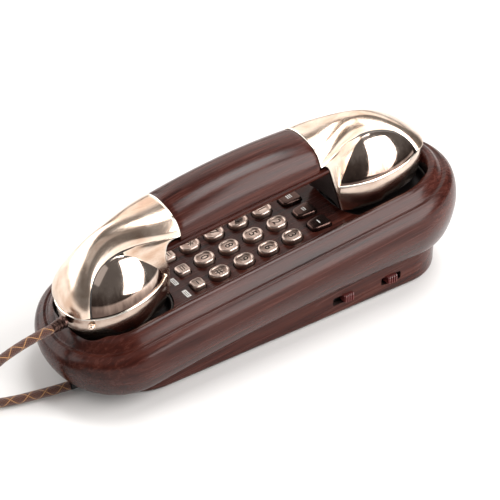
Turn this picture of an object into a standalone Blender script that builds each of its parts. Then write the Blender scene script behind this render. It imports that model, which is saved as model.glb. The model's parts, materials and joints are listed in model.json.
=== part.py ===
"""Slimline telephone on a tilted wedge foot, with its handset lying in two wells.

Metres, +Z up, +X towards the earpiece end, -Y towards the side with the slide switches.
Most of the phone is drawn in a deck frame, tilted about Y, whose Z = 0 is the top of the keys.
"""

import math

import bmesh
import bpy
from mathutils import Matrix, Vector

MM = 0.001
GAP = 0.3  # clearance between touching pieces, mm

# Driving dimensions, in millimetres and degrees
TILT = 5.54  # the earpiece end of the deck is raised
KEY_PLANE = 42.1  # height of the key tops above the table at the middle of the deck

EDGE_LEFT = -73.0  # centres and half axes of the oval that the hull's step edge follows
EDGE_RIGHT = 73.5
EDGE_LEFT_AXIS = 28.0
EDGE_RIGHT_AXIS = 35.0
EDGE_HALF_WIDTH = 32.5
BULGE = 4.9  # how far the hull's side swells past the step edge
WALL = 2.2
RIM_Z = -25.6  # the hull's lower rim, in the deck frame at x = 0
DECK_Z = -2.5
DECK_INSET = -12.5
RING_POINTS = 22  # points in each half of an oval
BEND_START = -42.0  # past here the mouthpiece end of the phone curves gently down
BEND_DROP = 3.4
STRAIGHT_POINTS = (40.0, 0.0, BEND_START, -57.0)  # where the hull's long sides may bend

FOOT_LEFT = -60.0  # the foot's oval on the table
FOOT_RIGHT = 78.0
FOOT_LEFT_AXIS = 26.0
FOOT_RIGHT_AXIS = 26.0
FOOT_HALF_WIDTH = 27.9
FOOT_Z = 0.8  # the rubber feet hold the foot this far off the table
WALL_HOLES = (-34.0, 48.0)
SLOT_LENGTH = 11.4
SLOT_HEIGHT = 4.4
SLOT_Z = 8.7
KNOB_LENGTH = 5.4
KNOB_HEIGHT = 3.8
SLIDE_SWITCHES = ((36.8, 39.6), (64.7, 64.9))  # the middle of each slot and of its knob at rest

KEY_PITCH_X = 13.28
KEY_PITCH_Y = 12.46
KEY_FIRST_X = -21.6
FUNCTION_X = -33.4
MEMORY_X = 33.4
MEMORY_PITCH_Y = 11.9
KEY_TRAVEL = 1.5

MOUTH_X = -70.0  # middle of each cup
EAR_X = 72.0
WELL_HALF_LENGTH = 24.8
WELL_HALF_WIDTH = 20.4
MOUTH_FLOOR = -8.4
EAR_FLOOR = -7.4

GRIP_LEFT = -40.2  # the two seams between the grip and the metal caps
GRIP_RIGHT = 34.8
GRIP_HALF_WIDTH = 15.0
GRIP_HALF_HEIGHT = 11.9
GRIP_MIDDLE_Z = 32.5
SKIRT_TAPER = 3.0  # how far each cap's skirt draws in at its outer end
SKIRT_DRAW = 0.10  # and at its sides, as a share of its half width

CORD_DIAMETER = 4.2
COIL_X = -174.0
COIL_Y = 2.0
COIL_RADIUS = 23.0
COIL_LAYERS = 4
COIL_COLUMNS = 3

TAU = math.radians(TILT)
HULL_LEFT_END = EDGE_LEFT - EDGE_LEFT_AXIS - BULGE
HULL_RIGHT_END = EDGE_RIGHT + EDGE_RIGHT_AXIS + BULGE
CENTRE_X = (HULL_LEFT_END + HULL_RIGHT_END) / 2 * math.cos(TAU) + 9.0 * math.sin(TAU)


# ---------------------------------------------------------------- scene and materials


def clear_scene():
    for item in list(bpy.data.objects):
        bpy.data.objects.remove(item, do_unlink=True)


def material(name, colour, roughness, metallic=0.0):
    made = bpy.data.materials.new(name)
    made.use_nodes = True
    shader = made.node_tree.nodes["Principled BSDF"]
    shader.inputs["Base Color"].default_value = (*colour, 1.0)
    shader.inputs["Roughness"].default_value = roughness
    shader.inputs["Metallic"].default_value = metallic
    return made


def make_empty(name, location, tilt=0.0, parent=None):
    empty = bpy.data.objects.new(name, None)
    empty.location = location
    empty.rotation_euler = (0.0, -tilt, 0.0)
    empty.parent = parent
    bpy.context.scene.collection.objects.link(empty)
    return empty


def add_object(name, vertices, faces, look, parent, at=(0, 0, 0), hidden=False):
    """A mesh object from points in millimetres, with its origin at `at`."""
    mesh = bpy.data.meshes.new(name)
    local = [((x - at[0]) * MM, (y - at[1]) * MM, (z - at[2]) * MM) for x, y, z in vertices]
    mesh.from_pydata(local, [], faces)
    work = bmesh.new()
    work.from_mesh(mesh)
    bmesh.ops.recalc_face_normals(work, faces=work.faces)
    work.to_mesh(mesh)
    work.free()
    mesh.update()
    made = bpy.data.objects.new(name, mesh)
    made.location = (at[0] * MM, at[1] * MM, at[2] * MM)
    made.parent = parent
    if look:
        mesh.materials.append(look)
    bpy.context.scene.collection.objects.link(made)
    if hidden:
        made.hide_render = True
        made.display_type = "WIRE"
    return made


def cut(target, cutter, how="DIFFERENCE"):
    step = target.modifiers.new(cutter.name, "BOOLEAN")
    step.operation = how
    step.object = cutter
    return target


def smooth(made, angle=35):
    made.data.shade_smooth()
    made.data.set_sharp_from_angle(angle=math.radians(angle))
    return made


# ---------------------------------------------------------------- outlines and lofts


def oval(left, right, left_axis, right_axis, half_width, grow=0.0, power=2.0, count=RING_POINTS, between=()):
    """Points (x, y) round a long oval, anticlockwise, mirror symmetric about y = 0.

    between lists the places along the two straight sides, from right to left, that get a point.
    """
    points = []
    for side, centre, axis in ((1, right, right_axis + grow), (-1, left, left_axis + grow)):
        for step in range(count):
            turn = math.pi * (step / (count - 1) - 0.5)
            along = math.cos(turn) ** (2 / power) if math.cos(turn) > 1e-9 else 0.0
            across = math.copysign(abs(math.sin(turn)) ** (2 / power), math.sin(turn))
            points.append((centre + side * axis * along, side * (half_width + grow) * across))
        straight = between if side > 0 else reversed(between)
        points += [(x, side * (half_width + grow)) for x in straight]
    return points


def edge_oval(grow):
    axes = (EDGE_LEFT_AXIS, EDGE_RIGHT_AXIS)
    return oval(EDGE_LEFT, EDGE_RIGHT, *axes, EDGE_HALF_WIDTH, grow, between=STRAIGHT_POINTS)


def foot_oval(grow):
    axes = (FOOT_LEFT_AXIS, FOOT_RIGHT_AXIS)
    return oval(FOOT_LEFT, FOOT_RIGHT, *axes, FOOT_HALF_WIDTH, grow, between=STRAIGHT_POINTS)


def well_oval(middle, grow):
    length = WELL_HALF_LENGTH - 12
    return oval(middle - length, middle + length, 12, 12, WELL_HALF_WIDTH, grow, 2.6, 12)


def bent(points, height):
    return [(x, y, height - bend(x)) for x, y in points]


def at_height(points, height):
    return [(x, y, height) for x, y in points]


def loft(name, rings, look, parent, at=(0, 0, 0), hidden=False, mirrored_caps=False):
    """A closed body through rings of equally many points, with its two ends closed."""
    size = len(rings[0])
    vertices = [point for ring in rings for point in ring]
    faces = []
    for level in range(len(rings) - 1):
        low = level * size
        high = low + size
        for step in range(size):
            after = (step + 1) % size
            faces.append((low + step, low + after, high + after, high + step))
    for base in (0, (len(rings) - 1) * size):
        faces += mirrored_cap(base, size) if mirrored_caps else [tuple(range(base, base + size))]
    return add_object(name, vertices, faces, look, parent, at, hidden)


def mirrored_cap(base, size):
    """Flat strips across y, so that a cap whose height changes along x stays exact."""
    straight = len(STRAIGHT_POINTS)
    count = size // 2 - straight
    start = count + straight
    pairs = [(step, count - 1 - step) for step in reversed(range(count // 2))]
    pairs += [(size - 1 - step, count + step) for step in range(straight)]
    pairs += [(start + count - 1 - step, start + step) for step in range(count // 2)]
    strips = []
    for (a, b), (c, d) in zip(pairs, pairs[1:]):
        strips.append((base + a, base + c, base + d, base + b))
    return strips


def prism(name, outline, low, high, look, parent, at=(0, 0, 0), hidden=False):
    rings = [at_height(outline, low), at_height(outline, high)]
    return loft(name, rings, look, parent, at, hidden)


def circle(x, y, radius, count=16):
    turns = [2 * math.pi * step / count for step in range(count)]
    return [(x + radius * math.cos(turn), y + radius * math.sin(turn)) for turn in turns]


def rectangle(x, y, length, width, corner=0.0, count=3):
    if corner <= 0:
        half_l = length / 2
        half_w = width / 2
        signs = ((-1, -1), (1, -1), (1, 1), (-1, 1))
        return [(x + half_l * sx, y + half_w * sy) for sx, sy in signs]
    points = []
    for quarter in range(4):
        sx = (1, -1, -1, 1)[quarter]
        sy = (1, 1, -1, -1)[quarter]
        for step in range(count + 1):
            turn = math.pi / 2 * (quarter + step / count)
            px = x + sx * (length / 2 - corner) + corner * math.cos(turn)
            py = y + sy * (width / 2 - corner) + corner * math.sin(turn)
            points.append((px, py))
    return points


def box(name, middle, size, look, parent, hidden=False, at=(0, 0, 0)):
    outline = rectangle(middle[0], middle[1], size[0], size[1])
    low = middle[2] - size[2] / 2
    return prism(name, outline, low, low + size[2], look, parent, at, hidden)


def turned_y(name, x, z, y_low, y_high, radius, count, look, parent, hidden=False):
    """A round bar along Y."""
    rings = []
    for y in (y_low, y_high):
        rings.append([(px, y, pz) for px, pz in circle(x, z, radius, count)])
    return loft(name, rings, look, parent, (0, 0, 0), hidden)


def to_table(point):
    """A point of the deck frame, in the table's frame."""
    x, y, z = point
    along = x * math.cos(TAU) - z * math.sin(TAU)
    return (along, y, x * math.sin(TAU) + z * math.cos(TAU) + KEY_PLANE)


# ---------------------------------------------------------------- base


def depth_factor(x):
    """The hull grows deeper towards both ends, and deepest under the earpiece."""
    along = max(x, -70.0)
    return 1.0 + 0.0008 * along + 0.0000234 * along * along


def bend(x):
    return BEND_DROP * (max(0.0, BEND_START - x) / 60.0) ** 2


def hull_z(x, z):
    """Height of the hull's side at x, for a level z given at the middle of the deck."""
    if z > -1.4:
        return z - bend(x)
    share = (z + 1.3) / (RIM_Z + 1.3)
    return -1.3 + (z + 1.3) * depth_factor(x) - bend(x) * (1 - share)


def hull_ring(grow, z):
    return [(x, y, hull_z(x, z)) for x, y in edge_oval(grow)]


def deck_ring(grow, z):
    return [(x, y, z - bend(x)) for x, y in edge_oval(grow)]


def base_upper_shell(look, parent):
    outside = [
        (DECK_INSET, DECK_Z),
        (-11.2, -1.6),
        (-9.8, 1.2),
        (-8.6, 3.0),
        (-7.0, 3.7),
        (-5.2, 3.1),
        (-3.4, 1.4),
        (-2.0, -0.7),
        (-1.2, -1.3),
        (0.0, -1.3),
        (1.6, -1.9),
        (3.4, -3.6),
        (4.5, -6.2),
        (BULGE, -9.5),
        (4.4, -14.0),
        (2.6, -19.5),
        (0.6, -23.5),
        (-1.5, RIM_Z),
    ]
    inside = [
        (-1.5 - WALL, RIM_Z),
        (-1.2 - WALL, -22.5),
        (BULGE - WALL - 0.3, -13.0),
        (BULGE - WALL - 0.6, -8.0),
        (-0.4, -4.6),
        (-DECK_INSET - 25.0 + 4.6, -2.2),
        (DECK_INSET + 2.0, DECK_Z - WALL),
    ]
    rings = []
    for grow, z in outside:
        rings.append(hull_ring(grow, z) if z <= -1.4 and grow > -2 else deck_ring(grow, z))
    for grow, z in inside:
        rings.append(hull_ring(grow, z) if z < -5 else deck_ring(grow, z))
    return smooth(loft("base_upper_shell", rings, look, parent, mirrored_caps=True), 50)


def rim_height(x, y, drop=0.0):
    """Height above the table of the hull's rim over the table point (x, y)."""
    along = x
    for _ in range(4):
        z = hull_z(along, RIM_Z - drop)
        along = (x + z * math.sin(TAU)) / math.cos(TAU)
    return along * math.sin(TAU) + z * math.cos(TAU) + KEY_PLANE


def base_lower_shell(look, parent):
    """The wedge foot, with a flange that closes the hull from below."""
    flange_inset = -1.5 - WALL - GAP
    outer_top = [(x, y, rim_height(x, y)) for x, y in foot_oval(0)]
    under = [to_table(point) for point in hull_ring(flange_inset, RIM_Z)]
    over = [(x, y, z + 2.0) for x, y, z in under]
    inner_top = [(x, y, rim_height(x, y, -2.0)) for x, y in foot_oval(-WALL)]
    rings = [
        at_height(foot_oval(-1.4), FOOT_Z),
        at_height(foot_oval(-0.4), FOOT_Z + 0.5),
        at_height(foot_oval(0), FOOT_Z + 1.6),
        outer_top,
        under,
        over,
        inner_top,
        at_height(foot_oval(-WALL), FOOT_Z + WALL),
    ]
    return smooth(loft("base_lower_shell", rings, look, parent, mirrored_caps=True), 50)


def well(name, middle, floor, look, parent):
    """A dish that closes one of the two big openings in the deck."""
    rings = [
        bent(well_oval(middle, -5.0), floor),
        bent(well_oval(middle, -2.6), floor + 0.6),
        bent(well_oval(middle, -1.7), floor + 2.4),
        bent(well_oval(middle, -GAP - 1.2), DECK_Z - 0.6),
        bent(well_oval(middle, -GAP), DECK_Z - 0.6),
        bent(well_oval(middle, -GAP), floor + 1.0),
        bent(well_oval(middle, -2.0), floor - 1.2),
        bent(well_oval(middle, -5.0), floor - 1.8),
    ]
    return smooth(loft(name, rings, look, parent), 50)


# ---------------------------------------------------------------- keys


def oval_key(x, y):
    return oval(x - 1.1, x + 1.1, 3.8, 3.8, 4.0, 0.0, 2.0, 9)


def square_key(x, y):
    return rectangle(x, 0, 6.2, 6.2, 1.4)


def memory_key(x, y):
    """A trapezium with round corners, wider towards the earpiece."""
    points = []
    for px, py in rectangle(x, 0, 10.0, 8.6, 2.2):
        share = (px - x) / 5.0
        points.append((px, py * (0.92 + 0.12 * share)))
    return points


def key_layout():
    """name, x, y, outline, height of the top, look"""
    digits = (("hash", "9", "6", "3"), ("0", "8", "5", "2"), ("star", "7", "4", "1"))
    keys = []
    for column, names in enumerate(digits):
        for row, digit in enumerate(names):
            x = KEY_FIRST_X + KEY_PITCH_X * row
            keys.append(("key_" + digit, x, KEY_PITCH_Y * (column - 1), oval_key, 0.0, "key"))
    for column, word in enumerate(("redial", "flash", "mute")):
        keys.append(("key_" + word, FUNCTION_X, KEY_PITCH_Y * (column - 1), square_key, -0.4, "key"))
    for column in range(3):
        name = "key_memory_" + str(column + 1)
        keys.append((name, MEMORY_X, MEMORY_PITCH_Y * (column - 1), memory_key, -0.6, "memory"))
    return keys


def shifted(outline, y):
    return [(px, py + y) for px, py in outline]


def scaled(outline, x, amount):
    """The outline moved inwards or outwards by about `amount`."""
    reach_x = max(px for px, _ in outline) - x
    reach_y = max(py for _, py in outline)
    ratio_x = 1 + amount / reach_x
    ratio_y = 1 + amount / reach_y
    return [(x + (px - x) * ratio_x, py * ratio_y) for px, py in outline]


def make_key(name, x, y, outline, top, look, parent):
    shape = outline(x, y)
    flange = scaled(shape, x, 0.9)
    rings = [
        at_height(shifted(flange, y), DECK_Z - WALL - GAP - 1.0),
        at_height(shifted(flange, y), DECK_Z - WALL - GAP),
        at_height(shifted(shape, y), DECK_Z - WALL - GAP),
        at_height(shifted(shape, y), top - 0.7),
        at_height(shifted(scaled(shape, x, -0.6), y), top),
    ]
    return smooth(loft(name, rings, look, parent, (x, y, top)), 40)


def key_hole(name, x, y, outline, parent):
    hole = shifted(scaled(outline(x, y), x, 0.45), y)
    return prism("cut_" + name, hole, DECK_Z - WALL - 1.0, DECK_Z + 2.0, None, parent, hidden=True)


# ---------------------------------------------------------------- handset


def ease(share):
    share = min(1.0, max(0.0, share))
    return share * share * (3 - 2 * share)


def grip_shape(x):
    """Middle height and half height of the grip's cross-section."""
    share = (x + 2.7) / 38.0
    return GRIP_MIDDLE_Z - 1.0 * share * share, GRIP_HALF_HEIGHT - 1.9 * share * share


def grip_arc(x, start, stop, inset, count):
    middle, half_height = grip_shape(x)
    points = []
    for step in range(count):
        turn = math.radians(start + (stop - start) * step / (count - 1))
        wide = math.copysign(abs(math.cos(turn)) ** 0.95, math.cos(turn))
        tall = math.copysign(abs(math.sin(turn)) ** 0.95, math.sin(turn))
        y = (GRIP_HALF_WIDTH - inset) * wide
        points.append((x, y, middle + (half_height - inset) * tall))
    return points


def grip_half(name, start, stop, look, parent):
    """Half of the hollow grip, a bent plate that runs from seam to seam."""
    rings = []
    steps = 12
    for step in range(steps + 1):
        x = GRIP_LEFT + GAP + (GRIP_RIGHT - GRIP_LEFT - 2 * GAP) * step / steps
        outer = grip_arc(x, start, stop, 0.0, 15)
        inner = grip_arc(x, stop, start, 2.0, 15)
        rings.append(outer + inner)
    return smooth(loft(name, rings, look, parent, (0, 0, GRIP_MIDDLE_Z)), 50)


class Cap:
    """One metal cap: u runs from its seam with the grip to its outer end."""

    def __init__(self, name, side, seam, middle, end, ring_z, skirt_z):
        self.name = name
        self.side = side
        self.seam = seam
        self.middle = middle
        self.end = end
        self.ring_z = ring_z
        self.skirt_z = skirt_z
        self.inner = middle - 25.0

    def half_width(self, u, inset):
        end = self.end - inset
        if u < self.middle:
            share = (self.middle - u) / (self.middle - self.inner)
            flare = 21.0 - 6.0 * min(share, 1.25) ** 2.6
            neck = GRIP_HALF_WIDTH
            blend = ease((u - self.seam) / (self.inner + 8 - self.seam))
            return neck + (flare - neck) * blend - inset
        share = min(0.9999, (u - self.middle) / (end - self.middle))
        return (21.0 - inset) * (1 - share**2.2) ** (1 / 2.2)

    def top(self, u, inset):
        middle, half_height = grip_shape(self.side * self.seam)
        high = middle + half_height
        share = min(0.9999, max(0.0, (u - self.seam) / (self.end - inset - self.seam)))
        fall = (1 - share**1.62) ** (1 / 1.62)
        return self.ring_z + (high - self.ring_z) * fall - inset * (0.4 + 0.6 * fall)

    def section(self, u, inset, below):
        """Closed outline of the cap across X at u."""
        middle, half_height = grip_shape(self.side * self.seam)
        web = ease((u - self.seam - 1.5) / (self.inner + 1.5 - self.seam))
        cup = ease((u - self.seam) / (self.inner + 8 - self.seam))
        bottom = (middle - half_height + inset) * (1 - web) + self.skirt_z * web - below
        turn_up = max(0.0, (u - self.end + inset + SKIRT_TAPER) / SKIRT_TAPER) ** 1.3
        bottom += (self.ring_z - self.skirt_z) * min(0.98, turn_up)
        widest = middle * (1 - cup) + self.ring_z * cup
        top = self.top(u, inset)
        widest = min(widest, 0.5 * (top + bottom) if top - widest < 1.0 else widest)
        width = self.half_width(u, inset)
        boxy = 2.2 + 4.0 * web
        points = []
        upper = 9
        lower = 7
        for step in range(upper):
            turn = math.pi * step / (upper - 1)
            y = width * math.copysign(abs(math.cos(turn)) ** (0.95 + 0.3 * cup), math.cos(turn))
            z = widest + (top - widest) * math.sin(turn) ** 0.95
            points.append((self.side * u, y, z))
        for step in range(1, lower + 1):
            turn = math.pi * step / (lower + 1)
            fall = math.sin(turn) ** (2 / boxy)
            taper = 1 - SKIRT_DRAW * web * fall
            y = -width * taper * math.copysign(abs(math.cos(turn)) ** (2 / boxy), math.cos(turn))
            points.append((self.side * u, y, widest - (widest - bottom) * fall))
        return [(x, y, z - bend(x)) for x, y, z in points]

    def stations(self, start, stop):
        places = [start, start + 2.5]
        while places[-1] + 2.6 < self.inner + 6:
            places.append(places[-1] + 2.2)
        first = places[-1]
        steps = 11
        for step in range(1, steps + 1):
            places.append(first + (stop - first) * math.sin(math.pi / 2 * step / steps))
        return places

    def solid(self, name, start, stop, inset, below, look, parent, hidden=False):
        rings = [self.section(u, inset, below) for u in self.stations(start, stop)]
        return loft(name, rings, look, parent, (0, 0, 0), hidden)

    def bottom_outline(self, inset, count=11):
        """Plan of the cap's lower opening, as a closed outline."""
        first = self.inner + 3.6 + inset
        last = self.end - 4.6 - inset
        right_side = []
        for step in range(count):
            u = first + (last - first) * math.sin(math.pi / 2 * step / (count - 1))
            width = 0.86 * self.half_width(u, 0) - inset
            right_side.append((self.side * u, max(width, 1.2)))
        return right_side + [(x, -y) for x, y in reversed(right_side)]


def make_cap(cap, look, parent):
    shell = cap.solid(cap.name, cap.seam, cap.end - 0.15, 0.0, 0.0, look, parent)
    hollow = cap.solid(
        "cut_" + cap.name, cap.seam + 2.0, cap.end - 2.1, 1.8, 2.0, None, parent, hidden=True
    )
    return smooth(cut(shell, hollow), 50)


# ---------------------------------------------------------------- cord


def tube(name, route, look, parent):
    """A round tube along points in millimetres, with flat filled ends."""
    curve = bpy.data.curves.new(name, "CURVE")
    curve.dimensions = "3D"
    curve.bevel_depth = CORD_DIAMETER / 2 * MM
    curve.bevel_resolution = 2
    curve.use_fill_caps = True
    spline = curve.splines.new("POLY")
    spline.points.add(len(route) - 1)
    for place, (x, y, z) in zip(spline.points, route):
        place.co = (x * MM, y * MM, z * MM, 1.0)
    curve.materials.append(look)
    made = bpy.data.objects.new(name, curve)
    made.parent = parent
    bpy.context.scene.collection.objects.link(made)
    return made


def smooth_route(knots, spacing):
    """Points about `spacing` apart on a smooth curve through hand-placed knots."""
    padded = [knots[0], *knots, knots[-1]]
    route = []
    for index in range(1, len(padded) - 2):
        before, start, stop, after = (Vector(padded[index + k]) for k in (-1, 0, 1, 2))
        steps = max(1, round((stop - start).length / spacing))
        for step in range(steps):
            t = step / steps
            bend = 2 * start + (stop - before) * t
            bend += (2 * before - 5 * start + 4 * stop - after) * t * t
            bend += (3 * start - before - 3 * stop + after) * t * t * t
            route.append(tuple(bend * 0.5))
    route.append(tuple(knots[-1]))
    return route


CORD_FROM_HANDSET = (
    (-102.6, -4.0, 37.4),
    (-107.0, -4.0, 36.8),
    (-112.6, -4.0, 35.9),
    (-121.0, -4.2, 34.2),
    (-130.0, -5.0, 31.9),
    (-139.0, -7.2, 29.0),
    (-148.0, -11.5, 25.6),
    (-156.5, -17.2, 22.3),
    (-164.5, -21.8, 20.2),
    (-170.5, -23.8, 19.7),
)
CORD_TO_BASE = (
    (-96.5, -4.6, 2.6),
    (-104.4, -3.2, 2.4),
    (-113.5, -1.4, 2.4),
    (-122.0, 0.6, 2.4),
    (-131.0, 4.0, 2.4),
    (-139.0, 9.4, 2.4),
    (-145.0, 15.6, 2.4),
)


def cord_coil(look, parent):
    """The outer shape of the wound cord: a square-sided ring."""
    count = 40
    low = 0.3
    high = low + CORD_DIAMETER * COIL_LAYERS
    inner = COIL_RADIUS - CORD_DIAMETER * COIL_COLUMNS / 2
    outer = COIL_RADIUS + CORD_DIAMETER * COIL_COLUMNS / 2
    profile = (
        (inner, low + 1),
        (inner + 1, low),
        (outer - 1, low),
        (outer, low + 1),
        (outer, high - 1),
        (outer - 1, high),
        (inner + 1, high),
        (inner, high - 1),
    )
    vertices = []
    faces = []
    size = len(profile)
    for step in range(count):
        turn = 2 * math.pi * step / count
        for radius, z in profile:
            vertices.append((COIL_X + radius * math.cos(turn), COIL_Y + radius * math.sin(turn), z))
    for step in range(count):
        after = (step + 1) % count
        for place in range(size):
            nearby = (place + 1) % size
            faces.append(
                (step * size + place, step * size + nearby, after * size + nearby, after * size + place)
            )
    return smooth(add_object("cord_coil", vertices, faces, look, parent), 50)


# ---------------------------------------------------------------- assembly


def keyhole(x):
    """A round hole for a screw's head with a narrow slot towards the earpiece end."""
    points = []
    for step in range(15):
        turn = math.radians(30 + 300 * step / 14)
        points.append((x + 3.8 * math.cos(turn), 3.8 * math.sin(turn)))
    return points + [(x + 9.0, -1.9), (x + 9.0, 1.9)]


def screw(name, x, y, low, high, head_radius, look, parent):
    """A countersunk-free pan head screw seen from below, with a cross recess left out."""
    rings = [
        at_height(circle(x, y, head_radius * 0.8, 12), low),
        at_height(circle(x, y, head_radius, 12), low + 0.6),
        at_height(circle(x, y, head_radius, 12), low + 1.5),
        at_height(circle(x, y, head_radius * 0.45, 12), low + 1.5),
        at_height(circle(x, y, head_radius * 0.45, 12), high),
    ]
    return smooth(loft(name, rings, look, parent), 40)


def build():
    clear_scene()
    wood = material("wood_plastic", (0.085, 0.022, 0.018), 0.32)
    dark = material("dark_plastic", (0.012, 0.009, 0.009), 0.4)
    key_metal = material("key_metal", (0.50, 0.36, 0.29), 0.32, 1.0)
    memory_metal = material("memory_key_metal", (0.10, 0.055, 0.045), 0.35, 1.0)
    cap_metal = material("cap_metal", (0.80, 0.66, 0.56), 0.14, 1.0)
    steel = material("steel", (0.6, 0.6, 0.6), 0.3, 1.0)
    board = material("circuit_board", (0.02, 0.13, 0.05), 0.5)
    rubber = material("rubber", (0.02, 0.02, 0.02), 0.8)
    knob_look = material("knob_plastic", (0.13, 0.02, 0.02), 0.35)
    brass = material("brass", (0.7, 0.5, 0.2), 0.3, 1.0)
    braid = material("braided_cord", (0.18, 0.07, 0.035), 0.75)

    table = make_empty("table_frame", (-CENTRE_X * MM, 0, 0))
    deck = make_empty("deck_frame", (0, 0, KEY_PLANE * MM), TAU, table)

    # base shells
    upper = base_upper_shell(wood, deck)
    lower = base_lower_shell(wood, table)
    for name, middle in (("mouth", MOUTH_X), ("ear", EAR_X)):
        opening = well_oval(middle, 0.0)
        cut(upper, prism("cut_well_" + name, opening, -8.0, 9.0, None, deck, hidden=True))
    for name, x, y, outline, top, finish in key_layout():
        cut(upper, key_hole(name, x, y, outline, deck))
        make_key(name, x, y, outline, top, key_metal if finish == "key" else memory_metal, deck)

    well("mouth_well", MOUTH_X, MOUTH_FLOOR, dark, deck)
    ear_well = well("ear_well", EAR_X, EAR_FLOOR, dark, deck)
    slot = prism("cut_hook_slot", rectangle(EAR_X, 0, 5.6, 9.6), -20, 0, None, deck, hidden=True)
    cut(ear_well, slot)

    # hook switch: a plunger through the floor of the earpiece well
    hook = [
        at_height(rectangle(EAR_X, 0, 8.0, 12.0), EAR_FLOOR - 6.6),
        at_height(rectangle(EAR_X, 0, 8.0, 12.0), EAR_FLOOR - 5.4),
        at_height(rectangle(EAR_X, 0, 4.8, 8.8), EAR_FLOOR - 5.4),
        at_height(rectangle(EAR_X, 0, 4.8, 8.8), EAR_FLOOR + 2.2),
        at_height(rectangle(EAR_X, 0, 3.0, 7.4), EAR_FLOOR + 3.0),
    ]
    loft("hook_plunger", hook, dark, deck, (EAR_X, 0, EAR_FLOOR))
    box("hook_switch", (EAR_X, 0, -19.2), (13.0, 12.0, 6.6), dark, deck)

    # keypad stack
    box("keypad_mat", (0.5, 0, -8.6), (84.0, 37.0, 1.2), rubber, deck)
    box("keypad_board", (0.5, 0, -10.3), (86.0, 38.0, 1.6), board, deck)
    box("main_board", (-8.0, 0, -20.6), (64.0, 40.0, 1.6), board, deck)
    prism("ringer", circle(40.0, 0, 12.0, 24), -21.5, -18.5, brass, deck)

    # slide switches in the long wall of the foot
    wall = -FOOT_HALF_WIDTH
    for number, (slot_x, knob_x) in enumerate(SLIDE_SWITCHES):
        name = str(number + 1)
        opening = (SLOT_LENGTH, 9, SLOT_HEIGHT)
        cut(lower, box("cut_slot_" + name, (slot_x, wall, SLOT_Z), opening, None, table, True))
        middle = (knob_x, wall + 0.6, SLOT_Z)
        knob_size = (KNOB_LENGTH, 5.0, KNOB_HEIGHT)
        box("slide_knob_" + name, middle, knob_size, knob_look, table, at=(knob_x, wall, SLOT_Z))
        box("slide_switch_" + name, (slot_x, wall + 6.7, SLOT_Z), (15.0, 6.6, 8.0), dark, table)

    # line jack in the right end of the foot, and the cord gland in the left end
    jack_x = FOOT_RIGHT + FOOT_RIGHT_AXIS
    cut(lower, box("cut_jack", (jack_x, 0, 8.5), (14.0, 13.4, 10.4), None, table, True))
    jack = box("line_jack", (jack_x - 8.3, 0, 8.5), (13.4, 12.8, 9.8), dark, table)
    cut(jack, box("cut_jack_socket", (jack_x - 2.5, 0, 8.5), (14.0, 9.0, 6.4), None, table, True))
    gland_x = FOOT_LEFT - FOOT_LEFT_AXIS
    notch = prism("cut_gland", rectangle(gland_x, -5.0, 14.0, 6.4), -1, 7.0, None, table, hidden=True)
    cut(lower, notch)
    gland = []
    for x, radius in ((-82.0, 2.7), (-87.5, 2.7), (-89.0, 2.5), (-96.2, 2.3)):
        drop = 3.2 + (2.6 - 3.2) * ease((-82.0 - x) / 14.0)
        across = -5.0 + 0.4 * ease((-82.0 - x) / 14.0)
        gland.append([(x, across + py, drop + pz) for py, pz in circle(0, 0, radius, 16)])
    smooth(loft("base_cord_gland", gland, rubber, table), 40)

    # two keyholes in the floor of the foot, for hanging the phone on wall screws
    for number, x in enumerate(WALL_HOLES):
        name = "cut_keyhole_" + str(number)
        cut(lower, prism(name, keyhole(x), -1, FOOT_Z + WALL + 1, None, table, hidden=True))

    # rubber feet and the screws that hold the two shells together
    for number, (x, y) in enumerate(((-66, -15), (-66, 15), (86, -15), (86, 15))):
        foot = [
            at_height(circle(x, y, 4.6, 16), 0.0),
            at_height(circle(x, y, 5.0, 16), 0.3),
            at_height(circle(x, y, 5.0, 16), FOOT_Z - 0.02),
        ]
        smooth(loft("rubber_foot_" + str(number + 1), foot, rubber, table), 40)
    for number, (x, y) in enumerate(((-46, -18), (-46, 18), (72, -16), (72, 16))):
        name = "base_screw_" + str(number + 1)
        hole = prism("cut_" + name, circle(x, y, 3.1, 14), -1, FOOT_Z + WALL - 0.8, None, table, hidden=True)
        cut(lower, hole)
        shank = prism("cut_shank_" + name, circle(x, y, 1.6, 10), -1, 9, None, table, hidden=True)
        cut(lower, shank)
        screw(name, x, y, FOOT_Z - 0.4, FOOT_Z + 7.0, 2.7, steel, table)

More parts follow.
